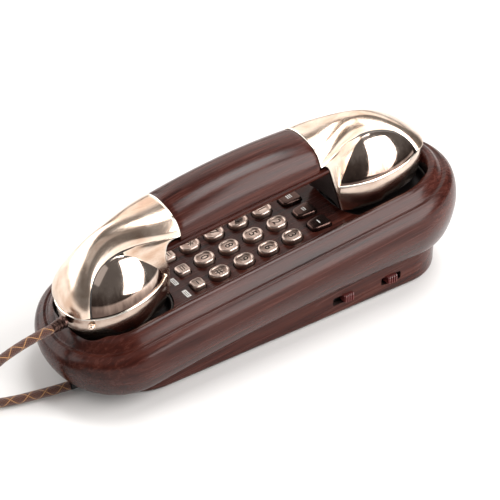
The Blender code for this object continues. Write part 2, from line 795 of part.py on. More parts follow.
    # handset
    grip_half("grip_upper_shell", -14, 194, wood, deck)
    grip_half("grip_lower_shell", 196.5, 343.5, wood, deck)
    mouth = Cap("mouth_cap", -1, -GRIP_LEFT, -MOUTH_X, 95.8, 12.0, -2.8)
    ear = Cap("ear_cap", 1, GRIP_RIGHT, EAR_X, 98.4, 14.8, -0.4)
    for cap, word, capsule in ((mouth, "mouth", "microphone"), (ear, "ear", "receiver")):
        make_cap(cap, cap_metal, deck)
        rim = cap.bottom_outline(2.9)
        low = cap.skirt_z - 2.0
        cover = loft(word + "_cover", [bent(rim, low), bent(rim, low + 3.2)], dark, deck)
        centre = cap.side * cap.middle
        for turn in range(6):
            angle = turn * math.pi / 3
            hx = centre + 6 * math.cos(angle)
            hy = 6 * math.sin(angle)
            hole = prism(
                "cut_" + word + str(turn), circle(hx, hy, 1.1, 8), -9, 9, None, deck, hidden=True
            )
            cut(cover, hole)
        radius = 13.0 if word == "ear" else 9.0
        low = cap.skirt_z + 2.4
        prism(capsule, circle(centre, 0, radius, 24), low, low + 7.5, steel, deck)
    box("handset_weight", (-3.0, 0, 31.0), (30.0, 13.0, 7.0), steel, deck)
    for number, x in enumerate((-30.0, 25.0)):
        name = "grip_screw_" + str(number + 1)
        low = grip_shape(x)[0] - grip_shape(x)[1]
        bottom = bpy.data.objects["grip_lower_shell"]
        cut(bottom, prism("cut_" + name, circle(x, 0, 3.0, 12), low - 2, low + 1.1, None, deck, hidden=True))
        cut(bottom, prism("cut_s" + name, circle(x, 0, 1.6, 10), low - 2, low + 4, None, deck, hidden=True))
        screw(name, x, 0, low - 0.6, low + 6.0, 2.6, steel, deck)

    # strain relief on the mouthpiece end, then the cord
    relief = []
    for x, radius in ((-96.3, 2.9), (-97.6, 2.9), (-98.6, 2.5), (-102.3, 2.3)):
        drop = 38.5 - 1.05 * ease((-96.3 - x) / 6.0)
        relief.append([(x, -4.0 + py, drop + pz) for py, pz in circle(0, 0, radius, 16)])
    smooth(loft("handset_cord_relief", relief, cap_metal, table), 40)
    tube("cord_handset_run", smooth_route(CORD_FROM_HANDSET, 7.0), braid, table)
    tube("cord_base_run", smooth_route(CORD_TO_BASE, 7.0), braid, table)
    cord_coil(braid, table)


build()
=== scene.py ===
import math

import bmesh
import bpy
from mathutils import Matrix, Vector
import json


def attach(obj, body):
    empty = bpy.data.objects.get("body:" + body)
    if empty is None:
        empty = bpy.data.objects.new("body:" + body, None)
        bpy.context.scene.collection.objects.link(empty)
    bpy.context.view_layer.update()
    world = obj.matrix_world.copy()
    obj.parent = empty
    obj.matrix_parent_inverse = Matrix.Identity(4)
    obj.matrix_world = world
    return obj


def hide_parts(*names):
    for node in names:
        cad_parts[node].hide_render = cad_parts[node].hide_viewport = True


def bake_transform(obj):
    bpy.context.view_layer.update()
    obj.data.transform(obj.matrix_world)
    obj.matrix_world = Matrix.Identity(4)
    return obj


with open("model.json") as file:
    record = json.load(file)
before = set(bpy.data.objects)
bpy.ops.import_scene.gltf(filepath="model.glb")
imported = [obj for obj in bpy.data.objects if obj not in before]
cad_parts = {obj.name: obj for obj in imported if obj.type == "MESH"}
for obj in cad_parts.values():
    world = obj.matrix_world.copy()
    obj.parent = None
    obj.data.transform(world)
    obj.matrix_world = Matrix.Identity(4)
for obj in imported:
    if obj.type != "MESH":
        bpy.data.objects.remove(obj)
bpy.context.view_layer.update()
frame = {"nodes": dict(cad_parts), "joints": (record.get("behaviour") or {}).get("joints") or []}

# ---------------------------------------------------------------- sizes, in millimetres

MM = 0.001
KEY_PLANE = 42.1  # height of the key tops above the table at the middle of the deck
CENTRE_X = 4.6013  # the table frame's origin, measured from the middle of the keypad
lift = next(joint for joint in frame["joints"] if joint["name"] == "handset_lift")
TAU = math.atan2(-lift["axis"][0], lift["axis"][2])  # tilt of the deck

EDGE = dict(left=-73.0, right=73.5, left_axis=28.0, right_axis=35.0, half_width=32.5)
FOOT = dict(left=-60.0, right=78.0, left_axis=26.0, right_axis=26.0, half_width=27.9)
WALL = 2.2
RIM_Z = -25.6
DECK_Z = -2.5
BEND_START = -42.0
BEND_DROP = 3.4
WELL_HALF_LENGTH = 24.8
WELL_HALF_WIDTH = 20.4
MOUTH_X = -70.0
EAR_X = 72.0
MOUTH_FLOOR = -8.4
EAR_FLOOR = -7.4
FOOT_Z = 0.8

KEY_PITCH_X = 13.28
KEY_PITCH_Y = 12.46
KEY_FIRST_X = -21.6
FUNCTION_X = -33.4
MEMORY_X = 33.4
MEMORY_PITCH_Y = 11.9

GRIP_LEFT = -40.2
GRIP_RIGHT = 34.8
GRIP_HALF_WIDTH = 15.0
GRIP_HALF_HEIGHT = 11.9
GRIP_MIDDLE_Z = 32.5
SECTION_POWER = 0.95  # 1 would make the section of grip and hood an ellipse

CORD_DIAMETER = 4.2
COIL_X = -174.0
COIL_Y = 2.0

ARC_STEPS = 30  # points in each quarter of an oval outline
STRAIGHT_STEPS = 30


def deck(x, y, z):
    """A point given in the tilted deck frame, whose z = 0 is the top of the keys."""
    along = x * math.cos(TAU) - z * math.sin(TAU) - CENTRE_X
    return Vector((along, y, x * math.sin(TAU) + z * math.cos(TAU) + KEY_PLANE)) * MM


def table(x, y, z):
    """A point given in the level frame of the table."""
    return Vector((x - CENTRE_X, y, z)) * MM


def bend(x):
    """The mouthpiece end of the phone curves gently down."""
    return BEND_DROP * (max(0.0, BEND_START - x) / 60.0) ** 2


def ease(share):
    share = min(1.0, max(0.0, share))
    return share * share * (3 - 2 * share)


# ---------------------------------------------------------------- material helpers


class Look:
    """A node material under construction."""

    def __init__(self, name, roughness=0.5, metallic=0.0, **fixed):
        self.material = bpy.data.materials.new(name)
        self.material.use_nodes = True
        self.tree = self.material.node_tree
        self.shader = self.tree.nodes["Principled BSDF"]
        self.shader.inputs["Roughness"].default_value = roughness
        self.shader.inputs["Metallic"].default_value = metallic
        for key, value in fixed.items():
            self.shader.inputs[key.replace("_", " ")].default_value = value

    def add(self, kind, settings=None, **sockets):
        made = self.tree.nodes.new(kind)
        for key, value in (settings or {}).items():
            setattr(made, key, value)
        for key, value in sockets.items():
            self.feed(made.inputs[key.replace("_", " ")], value)
        return made

    def feed(self, socket, value):
        if isinstance(value, bpy.types.NodeSocket):
            self.tree.links.new(value, socket)
        else:
            socket.default_value = value

    def math(self, operation, first, second=0.0):
        made = self.tree.nodes.new("ShaderNodeMath")
        made.operation = operation
        self.feed(made.inputs[0], first)
        self.feed(made.inputs[1], second)
        return made.outputs[0]

    def weigh(self, first, share, second, other_share):
        first = self.math("MULTIPLY", first, share)
        return self.math("ADD", first, self.math("MULTIPLY", second, other_share))

    def place(self, scale=(1, 1, 1), tilt=0.0):
        where = self.add("ShaderNodeTexCoord").outputs["Object"]
        turned = self.add("ShaderNodeMapping", Vector=where, Rotation=(0.0, tilt, 0.0))
        return self.add("ShaderNodeMapping", Vector=turned.outputs[0], Scale=scale).outputs[0]

    def noise(self, scale, detail=3.0, roughness=0.5, distortion=0.0, stretch=(1, 1, 1), tilt=0.0):
        made = self.add(
            "ShaderNodeTexNoise",
            Vector=self.place(stretch, tilt),
            Scale=scale,
            Detail=detail,
            Roughness=roughness,
            Distortion=distortion,
        )
        return made.outputs["Fac"]

    def ramp(self, factor, stops):
        made = self.add("ShaderNodeValToRGB", Fac=factor)
        elements = made.color_ramp.elements
        while len(elements) < len(stops):
            elements.new(0.5)
        for element, (place, colour) in zip(elements, stops):
            element.position = place
            element.color = (*colour, 1.0)
        return made.outputs["Color"]

    def mix(self, factor, first, second):
        made = self.add("ShaderNodeMix", {"data_type": "RGBA"})
        self.feed(made.inputs["Factor"], factor)
        self.feed(made.inputs["A"], first)
        self.feed(made.inputs["B"], second)
        return made.outputs["Result"]

    def span(self, value, low, high, from_low=0.3, from_high=0.7):
        made = self.add("ShaderNodeMapRange", Value=value, From_Min=from_low, From_Max=from_high)
        made.inputs["To Min"].default_value = low
        made.inputs["To Max"].default_value = high
        return made.outputs["Result"]

    def edge_wear(self, strength=3.0):
        """1 on outward edges, 0 on flat places and in hollows."""
        point = self.add("ShaderNodeNewGeometry").outputs["Pointiness"]
        return self.span(point, 0.0, 1.0, 0.5, 0.5 + 0.1 / strength)

    def colour(self, value):
        self.feed(self.shader.inputs["Base Color"], value)

    def rough(self, value):
        self.feed(self.shader.inputs["Roughness"], value)

    def bump(self, height, strength, distance):
        made = self.add("ShaderNodeBump", Height=height, Strength=strength, Distance=distance)
        self.feed(self.shader.inputs["Normal"], made.outputs["Normal"])


def wood_look(name):
    """Dark red-brown moulded plastic with a lengthwise wood grain under a thin clear coat."""
    look = Look(name, Coat_Weight=0.06, Coat_Roughness=0.12, Specular_IOR_Level=0.2)
    fine = look.noise(1.0, 4.0, 0.62, 0.5, (26, 620, 620), TAU)
    broad = look.noise(1.0, 3.0, 0.55, 1.1, (9, 110, 110), TAU)
    streaks = look.weigh(fine, 0.55, broad, 0.45)
    stops = [(0.32, (0.010, 0.0021, 0.0015)), (0.45, (0.033, 0.0074, 0.0050))]
    stops += [(0.56, (0.052, 0.0127, 0.0084)), (0.72, (0.090, 0.0262, 0.0172))]
    look.colour(look.ramp(streaks, stops))
    look.rough(look.span(fine, 0.20, 0.31))
    look.bump(fine, 0.16, 0.0002)
    return look.material


def ball_look():
    """Polished metal painted darker from the top of the dome down to the ring: painted shade and a painted
    reflection of the brown hull on the ball's lower half, with streaks.
    """
    look = Look("polished_nickel", metallic=1.0)
    height = look.add("ShaderNodeTexCoord").outputs["Generated"]
    level = look.add("ShaderNodeSeparateXYZ", Vector=height).outputs["Z"]
    streaks = look.noise(1.0, 3.0, 0.6, 0.3, (240, 240, 30))
    level = look.math("ADD", level, look.math("MULTIPLY", look.math("SUBTRACT", streaks, 0.5), 0.5))
    # The dark low stops are painted shade and a painted reflection on the lower half of the ball.
    stops = [(0.26, (0.11, 0.075, 0.062)), (0.44, (0.30, 0.22, 0.18)), (0.66, (0.74, 0.62, 0.54))]
    look.colour(look.ramp(level, stops))
    look.rough(look.span(streaks, 0.05, 0.12))
    look.bump(streaks, 0.03, 0.00005)
    return look.material


def metal_look(name, light, dark, low, high, patina=0.5, brush=0.12):
    """Plated metal with a warm patina, fine brush lines and brighter edges."""
    look = Look(name, metallic=1.0)
    cloud = look.noise(95.0, 4.0, 0.6, 0.6, (0.45, 1, 1), TAU)
    lines = look.noise(1.0, 2.0, 0.6, 0.0, (70, 2600, 2600), TAU)
    base = look.ramp(cloud, [(0.42 - 0.12 * patina, dark), (0.60, light)])
    bare = (*[min(1.0, 1.12 * c) for c in light], 1.0)
    look.colour(look.mix(look.edge_wear(2.0), base, bare))
    look.rough(look.span(look.weigh(cloud, 0.6, lines, 0.4), low, high))
    look.bump(lines, brush, 0.00008)
    return look.material


def key_look(name, light, dark, rough_low=0.26, rough_high=0.44):
    """Cast metal key: dark in the hollows, bright on the rims, faintly pitted."""
    look = Look(name, metallic=1.0)
    cloud = look.noise(260.0, 4.0, 0.6)
    pits = look.noise(2400.0, 3.0, 0.7)
    point = look.add("ShaderNodeNewGeometry").outputs["Pointiness"]
    hollow = look.span(point, 0.0, 1.0, 0.44, 0.52)
    lit = look.ramp(cloud, [(0.3, [0.72 * c for c in light]), (0.65, light)])
    look.colour(look.mix(hollow, (*dark, 1.0), lit))
    look.rough(look.span(pits, rough_low, rough_high))
    look.bump(pits, 0.18, 0.00006)
    return look.material


def plastic_look(name, colour, low, high, texture=900.0, strength=0.12):
    look = Look(name)
    grain = look.noise(texture, 3.0, 0.6)
    cloud = look.noise(60.0, 2.0)
    look.colour(look.ramp(cloud, [(0.3, [0.78 * c for c in colour]), (0.7, [1.2 * c for c in colour])]))
    look.rough(look.span(grain, low, high))
    look.bump(grain, strength, 0.00005)
    return look.material


def board_look():
    """Green circuit board with a coarse pattern of copper tracks under the varnish."""
    look = Look("board_green", roughness=0.4)
    bricks = look.add("ShaderNodeTexBrick", Vector=look.place(), Scale=190.0)
    bricks.inputs["Color1"].default_value = (0.012, 0.10, 0.035, 1)
    bricks.inputs["Color2"].default_value = (0.016, 0.13, 0.05, 1)
    bricks.inputs["Mortar"].default_value = (0.05, 0.19, 0.06, 1)
    bricks.inputs["Mortar Size"].default_value = 0.06
    look.colour(bricks.outputs["Color"])
    look.bump(bricks.outputs["Fac"], 0.3, 0.00006)
    return look.material


def braid_look():
    """Brown braided textile with one gold strand in each direction; UV runs round and along."""
    look = Look("braided_textile", roughness=0.8, Sheen_Weight=0.25)
    where = look.add("ShaderNodeUVMap", {"uv_map": "cord"}).outputs["UV"]
    split = look.add("ShaderNodeSeparateXYZ", Vector=where)
    along = split.outputs["Y"]
    strands = look.math("MULTIPLY", split.outputs["X"], 12.0)
    waves = []
    golds = []
    for side in (1.0, -1.0):
        run = look.math("ADD", strands, look.math("MULTIPLY", along, 3.2 * side))
        waves.append(look.math("SINE", look.math("MULTIPLY", run, 2 * math.pi)))
        turn = look.math("FRACT", look.math("MULTIPLY", run, 1 / 6))
        golds.append(look.math("LESS_THAN", turn, 0.11))
    height = look.math("MAXIMUM", *waves)
    gold = look.math("MULTIPLY", look.math("MAXIMUM", *golds), look.span(height, 0.0, 1.0, 0.1, 0.5))
    thread = look.noise(2600.0, 3.0, 0.7)
    brown = look.ramp(thread, [(0.3, (0.045, 0.012, 0.007)), (0.7, (0.15, 0.045, 0.022))])
    # Low places between the strands are painted nearly black: painted shade in the weave's crevices.
    shade = look.mix(look.span(height, 0.0, 1.0, -0.4, 0.7), (0.02, 0.007, 0.004, 1), brown)
    look.colour(look.mix(gold, shade, (0.40, 0.19, 0.07, 1)))
    look.bump(look.math("ADD", height, look.math("MULTIPLY", thread, 0.5)), 0.7, 0.0003)
    return look.material


def ink_look(name, colour):
    look = Look(name)
    speck = look.noise(1500.0, 3.0)
    look.colour(look.ramp(speck, [(0.25, [0.86 * c for c in colour]), (0.6, colour)]))
    look.rough(look.span(speck, 0.45, 0.65))
    return look.material


def floor_look():
    look = Look("pale_floor")
    cloud = look.noise(3.0, 2.0)
    look.colour(look.ramp(cloud, [(0.2, (0.73, 0.725, 0.72)), (0.8, (0.75, 0.745, 0.74))]))
    look.rough(look.span(cloud, 0.75, 0.85))
    return look.material


WOOD = wood_look("wood_grain_plastic")
CAP = metal_look("antique_nickel", (0.88, 0.73, 0.61), (0.58, 0.39, 0.28), 0.16, 0.28, 0.7)
# The skirt uses a darker copy of the cap's metal: painted shade that dims its reflection of the bright floor
# below the ball.
SKIRT = metal_look("antique_nickel_painted_shade", (0.66, 0.54, 0.46), (0.26, 0.17, 0.13), 0.16, 0.28, 1.1)
BALL = ball_look()
TRIM = metal_look("bright_trim", (0.93, 0.84, 0.76), (0.80, 0.68, 0.58), 0.12, 0.2, 0.2, 0.0)
KEY = key_look("antique_key_metal", (0.66, 0.52, 0.45), (0.16, 0.09, 0.07))
MEMORY_KEY = key_look("memory_key_bronze", (0.11, 0.065, 0.055), (0.03, 0.015, 0.012), 0.22, 0.36)
ENGRAVING = plastic_look("engraving_paint", (0.035, 0.020, 0.016), 0.5, 0.7)
DARK = plastic_look("dark_plastic", (0.010, 0.0075, 0.0070), 0.36, 0.52)
INNER = plastic_look("inner_plastic", (0.016, 0.008, 0.007), 0.42, 0.6)
STEEL = metal_look("turned_steel", (0.62, 0.61, 0.60), (0.46, 0.45, 0.45), 0.22, 0.36, 0.4)
BRASS = metal_look("plain_brass", (0.72, 0.53, 0.25), (0.55, 0.36, 0.14), 0.2, 0.34, 0.5)
BOARD = board_look()
RUBBER = plastic_look("black_rubber", (0.014, 0.014, 0.014), 0.7, 0.88, 700.0, 0.35)
KNOB = plastic_look("red_brown_knob", (0.11, 0.020, 0.018), 0.3, 0.42)
WHITE_INK = ink_look("white_ink", (0.80, 0.79, 0.76))
DARK_INK = ink_look("dark_ink", (0.12, 0.09, 0.08))
BRAID = braid_look()

# ---------------------------------------------------------------- mesh helpers


def linked(name, data):
    made = bpy.data.objects.new(name, data)
    bpy.context.scene.collection.objects.link(made)
    return made


def smoothed(mesh, degrees):
    """Smooth shading, except over edges sharper than an angle."""
    mesh.shade_smooth()
    mesh.set_sharp_from_angle(angle=math.radians(degrees))


def link_mesh(name, points, faces, look, smooth=40.0):
    mesh = bpy.data.meshes.new(name)
    mesh.from_pydata([tuple(point) for point in points], [], faces)
    work = bmesh.new()
    work.from_mesh(mesh)
    bmesh.ops.remove_doubles(work, verts=work.verts, dist=0.000002)
    bmesh.ops.recalc_face_normals(work, faces=work.faces)
    work.to_mesh(mesh)
    work.free()
    mesh.materials.append(look)
    if smooth:
        smoothed(mesh, smooth)
    return linked(name, mesh)


def place(piece, body, slot, *nodes):
    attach(piece, body)
    if nodes:
        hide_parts(*nodes)
    return piece


def grid_faces(rows, columns, closed=True):
    """Quads between rows of equally many points; closed joins each row's ends."""
    faces = []
    for row in range(rows - 1):
        for column in range(columns if closed else columns - 1):
            after = (column + 1) % columns
            low = row * columns
            high = low + columns
            faces.append((low + column, low + after, high + after, high + column))
    return faces


def loft(name, rings, look, smooth=40.0, ends=True, closed=True, more=()):
    """A surface through rings of equally many points; more is extra faces over the same points."""
    size = len(rings[0])
    points = [point for ring in rings for point in ring]
    faces = grid_faces(len(rings), size, closed) + list(more)
    if ends:
        faces.append(tuple(range(size)))
        faces.append(tuple(range((len(rings) - 1) * size, len(rings) * size)))
    return link_mesh(name, points, faces, look, smooth)


def half_oval(
    left,
    right,
    left_axis,
    right_axis,
    half_width,
    grow=0.0,
    power=2.0,
    straight=STRAIGHT_STEPS,
    arc=ARC_STEPS,
):
    """(x, half width) along a long oval, from its right end to its left end."""

    def rounded_end(middle, axis, share):
        turn = math.pi / 2 * share
        wide = (half_width + grow) * math.sin(turn) ** (2 / power)
        return middle + axis * math.cos(turn) ** (2 / power), wide

    side = [(right + (left - right) * step / straight, half_width + grow) for step in range(straight + 1)]
    right_end = [rounded_end(right, right_axis + grow, step / arc) for step in range(arc)]
    left_end = [rounded_end(left, -left_axis - grow, 1 - step / arc) for step in range(1, arc + 1)]
    return right_end + side + left_end


def ring_of(half):
    """The closed outline (x, y) of a half outline."""
    return half + [(x, -y) for x, y in reversed(half[1:-1])]


def strips(base, count):
    """Faces across y that close a ring made by ring_of from `count` half points."""
    size = 2 * count - 2
    faces = [(base, base + 1, base + size - 1)]
    for step in range(1, count - 2):
        faces.append((base + step, base + step + 1, base + size - step - 1, base + size - step))
    faces.append((base + count - 2, base + count - 1, base + count))
    return faces


def lofted_oval(name, rings, look, smooth=40.0):
    """A closed body through rings made by ring_of, with strips across both ends."""
    size = len(rings[0])
    half = size // 2 + 1
    across = strips(0, half) + strips((len(rings) - 1) * size, half)
    return loft(name, rings, look, smooth, ends=False, more=across)


def curve_through(knots, steps):
    """Points on a smooth curve through knots, with `steps` in each span."""
    padded = [knots[0], *knots, knots[-1]]
    line = []
    for index in range(1, len(padded) - 2):
        before, start, stop, after = (Vector(padded[index + k]) for k in (-1, 0, 1, 2))
        for step in range(steps):
            t = step / steps
            spot = 2 * start + (stop - before) * t
            spot += (2 * before - 5 * start + 4 * stop - after) * t * t
            spot += (3 * start - before - 3 * stop + after) * t * t * t
            line.append(spot * 0.5)
    line.append(Vector(knots[-1]))
    return line


def evened(line, rounds=40):
    """The same line with its small waves smoothed away; its ends stay where they are."""
    for _ in range(rounds):
        between = [(a + 2 * b + c) / 4 for a, b, c in zip(line, line[1:], line[2:])]
        line = [line[0], *between, line[-1]]
    return line


def frames_along(line):
    """For each point a pair of directions across the line, carried along without twist."""
    side = None
    frames = []
    for index in range(len(line)):
        after = line[min(index + 1, len(line) - 1)]
        ahead = (after - line[max(index - 1, 0)]).normalized()
        if side is None:
            side = ahead.cross(Vector((0, 0, 1)))
            side = side if side.length > 0.1 else ahead.cross(Vector((0, 1, 0)))
        side = (side - ahead * side.dot(ahead)).normalized()
        frames.append((side, ahead.cross(side).normalized()))
    return frames


def tube(name, line, radius, look, sides=10):
    """A round tube along points in metres; radius in millimetres, or a list of them."""
    radii = radius if isinstance(radius, list) else [radius] * len(line)
    rings = []
    for spot, (side, rise), thick in zip(line, frames_along(line), radii):
        turns = [2 * math.pi * step / sides for step in range(sides)]
        arms = [side * math.cos(turn) + rise * math.sin(turn) for turn in turns]
        rings.append([spot + arm * thick * MM for arm in arms])
    return loft(name, rings, look, 50.0)


def turned(name, stations, look, sides=28):
    """A round piece along a bent axis; stations hold a point in metres and a radius."""
    return tube(name, [spot for spot, _ in stations], [radius for _, radius in stations], look, sides)


def signed_power(value, power):
    """A sine or cosine raised to a power, with its sign kept."""
    return math.copysign(abs(value) ** power, value)


def rectangle(x, y, length, width, corner, count=5):
    points = []
    for quarter in range(4):
        sx = (1, -1, -1, 1)[quarter]
        sy = (1, 1, -1, -1)[quarter]
        for step in range(count + 1):
            turn = math.pi / 2 * (quarter + step / count)
            px = x + sx * (length / 2 - corner) + corner * math.cos(turn)
            py = y + sy * (width / 2 - corner) + corner * math.sin(turn)
            points.append((px, py))
    return points


def circle(x, y, radius, count=32):
    turns = [2 * math.pi * step / count for step in range(count)]
    return [(x + radius * math.cos(turn), y + radius * math.sin(turn)) for turn in turns]


def prism(name, outline, low, high, look, to_world=deck):
    rings = [[to_world(x, y, z) for x, y in outline] for z in (low, high)]
    return loft(name, rings, look)


def apply_modifiers(piece):
    """Bakes a piece's modifiers into its mesh."""
    seen = piece.evaluated_get(bpy.context.evaluated_depsgraph_get())
    mesh = bpy.data.meshes.new_from_object(seen)
    piece.modifiers.clear()
    piece.data = mesh


def thicken(piece, thickness, offset=-1.0):
    solid = piece.modifiers.new("thickness", "SOLIDIFY")
    solid.thickness = thickness
    solid.offset = offset
    apply_modifiers(piece)


def cut_with(piece, cutters, smooth=40.0):
    """Cuts separate closed shapes out of a piece, and keeps the cutters' materials."""
    work = bmesh.new()
    for cutter in cutters:
        work.from_mesh(cutter.data)
    joined = bpy.data.meshes.new("cutters")
    work.to_mesh(joined)
    work.free()
    joined.materials.append(cutters[0].data.materials[0])
    whole = linked("cutters", joined)
    step = piece.modifiers.new("cut", "BOOLEAN")
    step.operation = "DIFFERENCE"
    step.solver = "EXACT"
    step.material_mode = "TRANSFER"
    step.object = whole
    bpy.context.view_layer.update()
    apply_modifiers(piece)
    for item in [whole, *cutters]:
        bpy.data.objects.remove(item, do_unlink=True)
    smoothed(piece.data, smooth)
    return piece


def join(name, pieces):
    """One object out of several meshes, each keeping its own material."""
    work = bmesh.new()
    looks = []
    for piece in pieces:
        look = piece.data.materials[0]
        if look not in looks:
            looks.append(look)
        before = len(work.faces)
        work.from_mesh(piece.data)
        work.faces.ensure_lookup_table()
        for face in work.faces[before:]:
            face.material_index = looks.index(look)
    mesh = bpy.data.meshes.new(name)
    work.to_mesh(mesh)
    work.free()
    for look in looks:
        mesh.materials.append(look)
    for piece in pieces:
        bpy.data.objects.remove(piece, do_unlink=True)
    smoothed(mesh, 40)
    return linked(name, mesh)


# ---------------------------------------------------------------- camera, lights and floor


def aim(item, place_at, target, upwards=(0, 0, 1)):
    """Puts a camera or lamp somewhere, looking at the target, with one of its axes upwards."""
    back = (Vector(place_at) - Vector(target)).normalized()
    across = Vector(upwards).cross(back).normalized()
    turn = Matrix((across, back.cross(across), back)).transposed().to_4x4()
    item.matrix_world = Matrix.Translation(Vector(place_at)) @ turn


def direction(azimuth, height):
    """Unit vector towards an azimuth (0 is the front) and a height, both in degrees."""
    turn = math.radians(azimuth)
    rise = math.radians(height)
    return Vector((math.sin(turn) * math.cos(rise), -math.cos(turn) * math.cos(rise), math.sin(rise)))


def make_camera():
    """Seen from the front left and above, 34 degrees round and 36.5 degrees up, with a long lens."""
    camera = linked("camera", bpy.data.cameras.new("camera"))
    camera.data.lens = 144.0
    camera.data.sensor_width = 36.0
    camera.data.clip_start = 0.05
    spot = Vector((-0.4138, -0.6125, 0.5801))
    aim(camera, spot, spot - direction(-33.97, 36.51))
    bpy.context.scene.camera = camera


def area_light(name, azimuth, height, distance, size, radiance, colour, upwards=(0, 0, 1)):
    """A soft panel seen from the object at an azimuth and a height."""
    light = bpy.data.lights.new(name, "AREA")
    light.shape = "RECTANGLE"
    light.size = size[0]
    light.size_y = size[1]
    light.energy = radiance * math.pi * size[0] * size[1]
    light.color = colour
    target = Vector((0, 0, 0.04))
    aim(linked(name, light), target + direction(azimuth, height) * distance, target, upwards)


FLOOR_REACH = 4  # metres from the middle to each edge


def make_studio():
    area_light("key_panel", 34, 31, 1.0, (0.62, 1.2), 8.0, (1.0, 0.985, 0.97), (0.12, 0.70, 0.71))
    area_light("top_panel", 100, 74, 1.3, (0.55, 0.6), 11.0, (1.0, 0.99, 0.98), (0, 1, 0))
    area_light("left_backdrop", -145, 24, 1.4, (2.2, 1.1), 2.9, (1.0, 0.98, 0.96))
    area_light("right_backdrop", 138, 28, 1.4, (1.6, 1.1), 1.4, (1.0, 0.95, 0.91))
    area_light("left_fill", -72, 56, 1.3, (1.0, 0.9), 0.4, (1.0, 0.95, 0.92))
    world = bpy.data.worlds.new("studio")
    bpy.context.scene.world = world
    world.use_nodes = True
    sky = world.node_tree.nodes["Background"]
    sky.inputs["Color"].default_value = (0.62, 0.58, 0.56, 1.0)
    sky.inputs["Strength"].default_value = 0.22
    bpy.context.scene.view_settings.view_transform = "Standard"
    corners = [(x * FLOOR_REACH, y * FLOOR_REACH, 0) for x, y in ((-1, -1), (1, -1), (1, 1), (-1, 1))]
    link_mesh("floor", corners, [(0, 1, 2, 3)], floor_look(), 0)


make_camera()
make_studio()

# ---------------------------------------------------------------- cord

CORD_FROM_HANDSET = (
    (-102.6, -4.0, 37.4),
    (-107.0, -4.0, 36.8),
    (-112.6, -4.0, 35.9),
    (-121.0, -4.2, 34.2),
    (-130.0, -5.0, 31.9),
    (-139.0, -7.2, 29.0),
    (-148.0, -11.5, 25.6),
    (-156.5, -17.2, 22.3),
    (-164.5, -21.8, 20.2),
    (-170.5, -23.8, 19.7),
)
CORD_TO_BASE = (
    (-96.5, -4.6, 2.6),
    (-104.4, -3.2, 2.4),
    (-113.5, -1.4, 2.4),
    (-122.0, 0.6, 2.4),
    (-131.0, 4.0, 2.4),
    (-139.0, 9.4, 2.4),
    (-145.0, 15.6, 2.4),
)
CORD_STEP = 0.001  # metres between the rings of the cord's mesh
COIL_RADII = (27.3, 23.1, 18.9)
COIL_BASE_Z = 2.45
COIL_START = 105.0  # degrees round the coil where the cord has reached its first turn
COIL_STOP = 105.0 + 9 * 360 + 125.0
TURN_POINTS = 48
CROSSING = 75.0  # degrees over which the cord changes from one turn to the next


def coil_slot(turn):
    """Radius and height of the given turn, counted from 0 at the bottom's outside."""
    layer, column = divmod(turn, 3)
    if layer == 3:
        return COIL_RADII[0], COIL_BASE_Z + 3 * CORD_DIAMETER
    column = column if layer % 2 == 0 else 2 - column
    if layer == 2 and column == 2:
        return COIL_RADII[2], COIL_BASE_Z + 2 * CORD_DIAMETER
    return COIL_RADII[column], COIL_BASE_Z + layer * CORD_DIAMETER


def coil_route():
    """The wound part of the cord, from the bottom's outer turn to the top's outer turn."""
    route = []
    count = round((COIL_STOP - COIL_START) / 360 * TURN_POINTS)
    for step in range(count + 1):
        angle = COIL_START + (COIL_STOP - COIL_START) * step / count
        turned = (angle - COIL_START) / 360
        turn = int(turned)
        radius, z = coil_slot(turn)
        next_radius, next_z = coil_slot(turn + 1)
        share = ease((turned - turn - 1 + CROSSING / 360) / (CROSSING / 360))
        radius += (next_radius - radius) * share
        z += (next_z - z) * share
        turn_angle = math.radians(angle)
        route.append((COIL_X + radius * math.cos(turn_angle), COIL_Y + radius * math.sin(turn_angle), z))
    return route


def cord_route():
    """Every knot of the cord from the handset to the base, in millimetres."""
    lead_out = ((-177.4, -24.9, 18.6), (-184.8, -23.0, 16.7))
    lead_in = ((-150.0, 21.2, 2.4), (-157.0, 26.3, 2.4), (-165.5, 29.4, 2.4), (-174.0, 29.9, 2.4))
    coil = list(reversed(coil_route()))
    return [*CORD_FROM_HANDSET, *lead_out, *coil, *reversed(lead_in), *reversed(CORD_TO_BASE)]


def spaced(line, spacing):
    """The same line with points at even spacing, all in metres."""
    total = sum((after - before).length for before, after in zip(line, line[1:]))
    count = round(total / spacing)
    step = total / count
    made = [line[0]]
    travelled = 0.0
    for start, stop in zip(line, line[1:]):
        length = (stop - start).length
        while travelled + length >= step * len(made) - 1e-9 and len(made) <= count:
            made.append(start.lerp(stop, (step * len(made) - travelled) / max(length, 1e-9)))
        travelled += length
    return made


def make_cord():
    """One braided tube whose strands stand a little proud of each other."""
    sides = 16
    line = spaced([table(*spot) for spot in curve_through(cord_route(), 4)], CORD_STEP)
    rings = []
    for index, (spot, (side, rise)) in enumerate(zip(line, frames_along(line))):
        ring = []
        for step in range(sides):
            turn = 2 * math.pi * step / sides
            weave = math.sin(4 * turn + index * 0.9) * math.sin(4 * turn - index * 0.9)
            radius = (CORD_DIAMETER / 2 - 0.02 + 0.06 * weave) * MM
            ring.append(spot + (side * math.cos(turn) + rise * math.sin(turn)) * radius)
        rings.append(ring)
    mesh = bpy.data.meshes.new("handset_cord")
    points = [tuple(point) for ring in rings for point in ring]
    mesh.from_pydata(points, [], grid_faces(len(rings), sides))
    uv = mesh.uv_layers.new(name="cord")
    for face in mesh.polygons:
        row, column = divmod(face.index, sides)
        corners = ((row, column), (row, column + 1), (row + 1, column + 1), (row + 1, column))
        for loop, (r, c) in zip(face.loop_indices, corners):
            uv.data[loop].uv = (c / sides, r * CORD_STEP / (CORD_DIAMETER * MM))
    mesh.materials.append(BRAID)
    mesh.shade_smooth()
    mesh.update()
    cord = linked("handset_cord", mesh)
    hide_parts("cord_handset_run", "cord_base_run", "cord_coil")
    return cord, line


